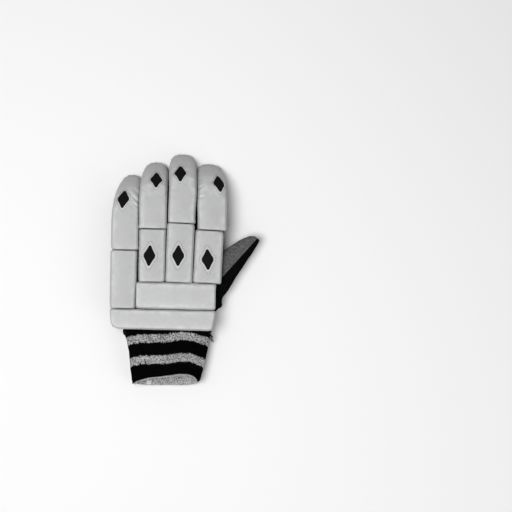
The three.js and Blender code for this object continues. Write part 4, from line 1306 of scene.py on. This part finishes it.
inside = surface(inner)
rows = []
for py in (380.6, 382.2, 383.8, 385):
    row = []
    for x, y in (at_pixel(px, py) for px in (145.8, 147.4, 149.2, 150.8)):
        where, _ = hit(inside, (x, y, 9), (0, 0, -1), reach=7)
        row.append([x, y, 7 if where is None else where[2] + 0.5])
    rows.append(row)
tab = strip("care_tab", rows, closed=False)
subdivide(tab, 2)
thicken(tab, 0.4)
finish_piece(tab, tab_cloth, "lining")


# The strap and the loop, smoothed from their solids, with their stitching
def band(name, voxel):
    obj = remesh(joined(f"{name}_leather", [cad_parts[name]]), voxel, 3)
    points = points_of(obj)
    swell(obj, 0.12 * wander(points, 8, 71) * smoothstep(0.05, 0.6, points[:, 2]))
    store(obj, "grime_and_shade", 0.25 * np.clip(wander(points, 17, 73), 0, 1))
    return finish_piece(obj, strap_leather, "strap", name)


strap = band("wrist_strap", 0.9)
band("pull_loop", 0.7)
STITCH_INSET = 2.6
STRAP_CORNER = 16
strap_low, strap_high = (np.array(v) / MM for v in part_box("wrist_strap"))
left, top, foot = strap_low[0] + 3, strap_high[1] - STITCH_INSET, strap_low[1] + STITCH_INSET
radius = STRAP_CORNER - STITCH_INSET
turns = np.linspace(0, math.pi / 2, 10)
end = strap_high[0] - STITCH_INSET
corner = [(end - radius + radius * math.sin(a), radius - radius * math.cos(a)) for a in turns]
run = [(left, top), *((x, top - drop) for x, drop in corner),
       *((x, foot + drop) for x, drop in reversed(corner)), (left, foot)]
bar = [(left + 10, top - 1), (left + 10, foot + 1)]
rows = [[(x, y, 0) for x, y in line] for line in (run, bar)]
stitch("strap_stitches", rows, surface(strap), (0, 0, 1), "strap", thick=0.4, sink=0.32)


# Floor, light and camera
FLOOR_HALF = 6000


def floor():
    corners = np.array([[-1, -1, 0], [1, -1, 0], [1, 1, 0], [-1, 1, 0]]) * FLOOR_HALF
    obj = mesh_object("floor", corners - [0, 0, 0.05], [(0, 1, 2, 3)])
    m = Shading("pale_floor", roughness=0.9, specular=0.2)
    m.drive("Base Color", m.mix(m.noise(900, 2), grey(0.9), grey(0.92)))
    obj.data.materials.append(m.material)


def area_light(name, place, size, power):
    lamp = bpy.data.lights.new(name, "AREA")
    lamp.energy = power
    lamp.shape = "DISK"
    lamp.size = size
    obj = link(name, lamp)
    obj.location = place
    obj.rotation_euler = Vector(place).to_track_quat("Z", "Y").to_euler()
    obj.visible_camera = False


floor()
area_light("overhead", (-0.4, -0.1, 1.6), 0.9, 20)
area_light("fill", (0.9, -0.8, 0.9), 1.0, 2.5)
world = bpy.data.worlds.new("studio")
world.use_nodes = True
world.node_tree.nodes["Background"].inputs["Color"].default_value = (1, 1, 1, 1)
world.node_tree.nodes["Background"].inputs["Strength"].default_value = 0.32
bpy.context.scene.world = world

CAMERA_HEIGHT = 4.0
SENSOR = 36
FOCUS_HEIGHT = 0.03  # where a pixel is PIXEL wide, about the height of the rolls' faces
camera = link("camera", bpy.data.cameras.new("camera"))
camera.location = (*(at_pixel(PHOTO_SIZE / 2, PHOTO_SIZE / 2) * MM), CAMERA_HEIGHT)
camera.data.sensor_width = SENSOR
camera.data.lens = SENSOR * (CAMERA_HEIGHT - FOCUS_HEIGHT) / (PHOTO_SIZE * PIXEL * MM)
camera.data.clip_end = 50
bpy.context.scene.camera = camera
bpy.context.scene.view_settings.view_transform = "Standard"
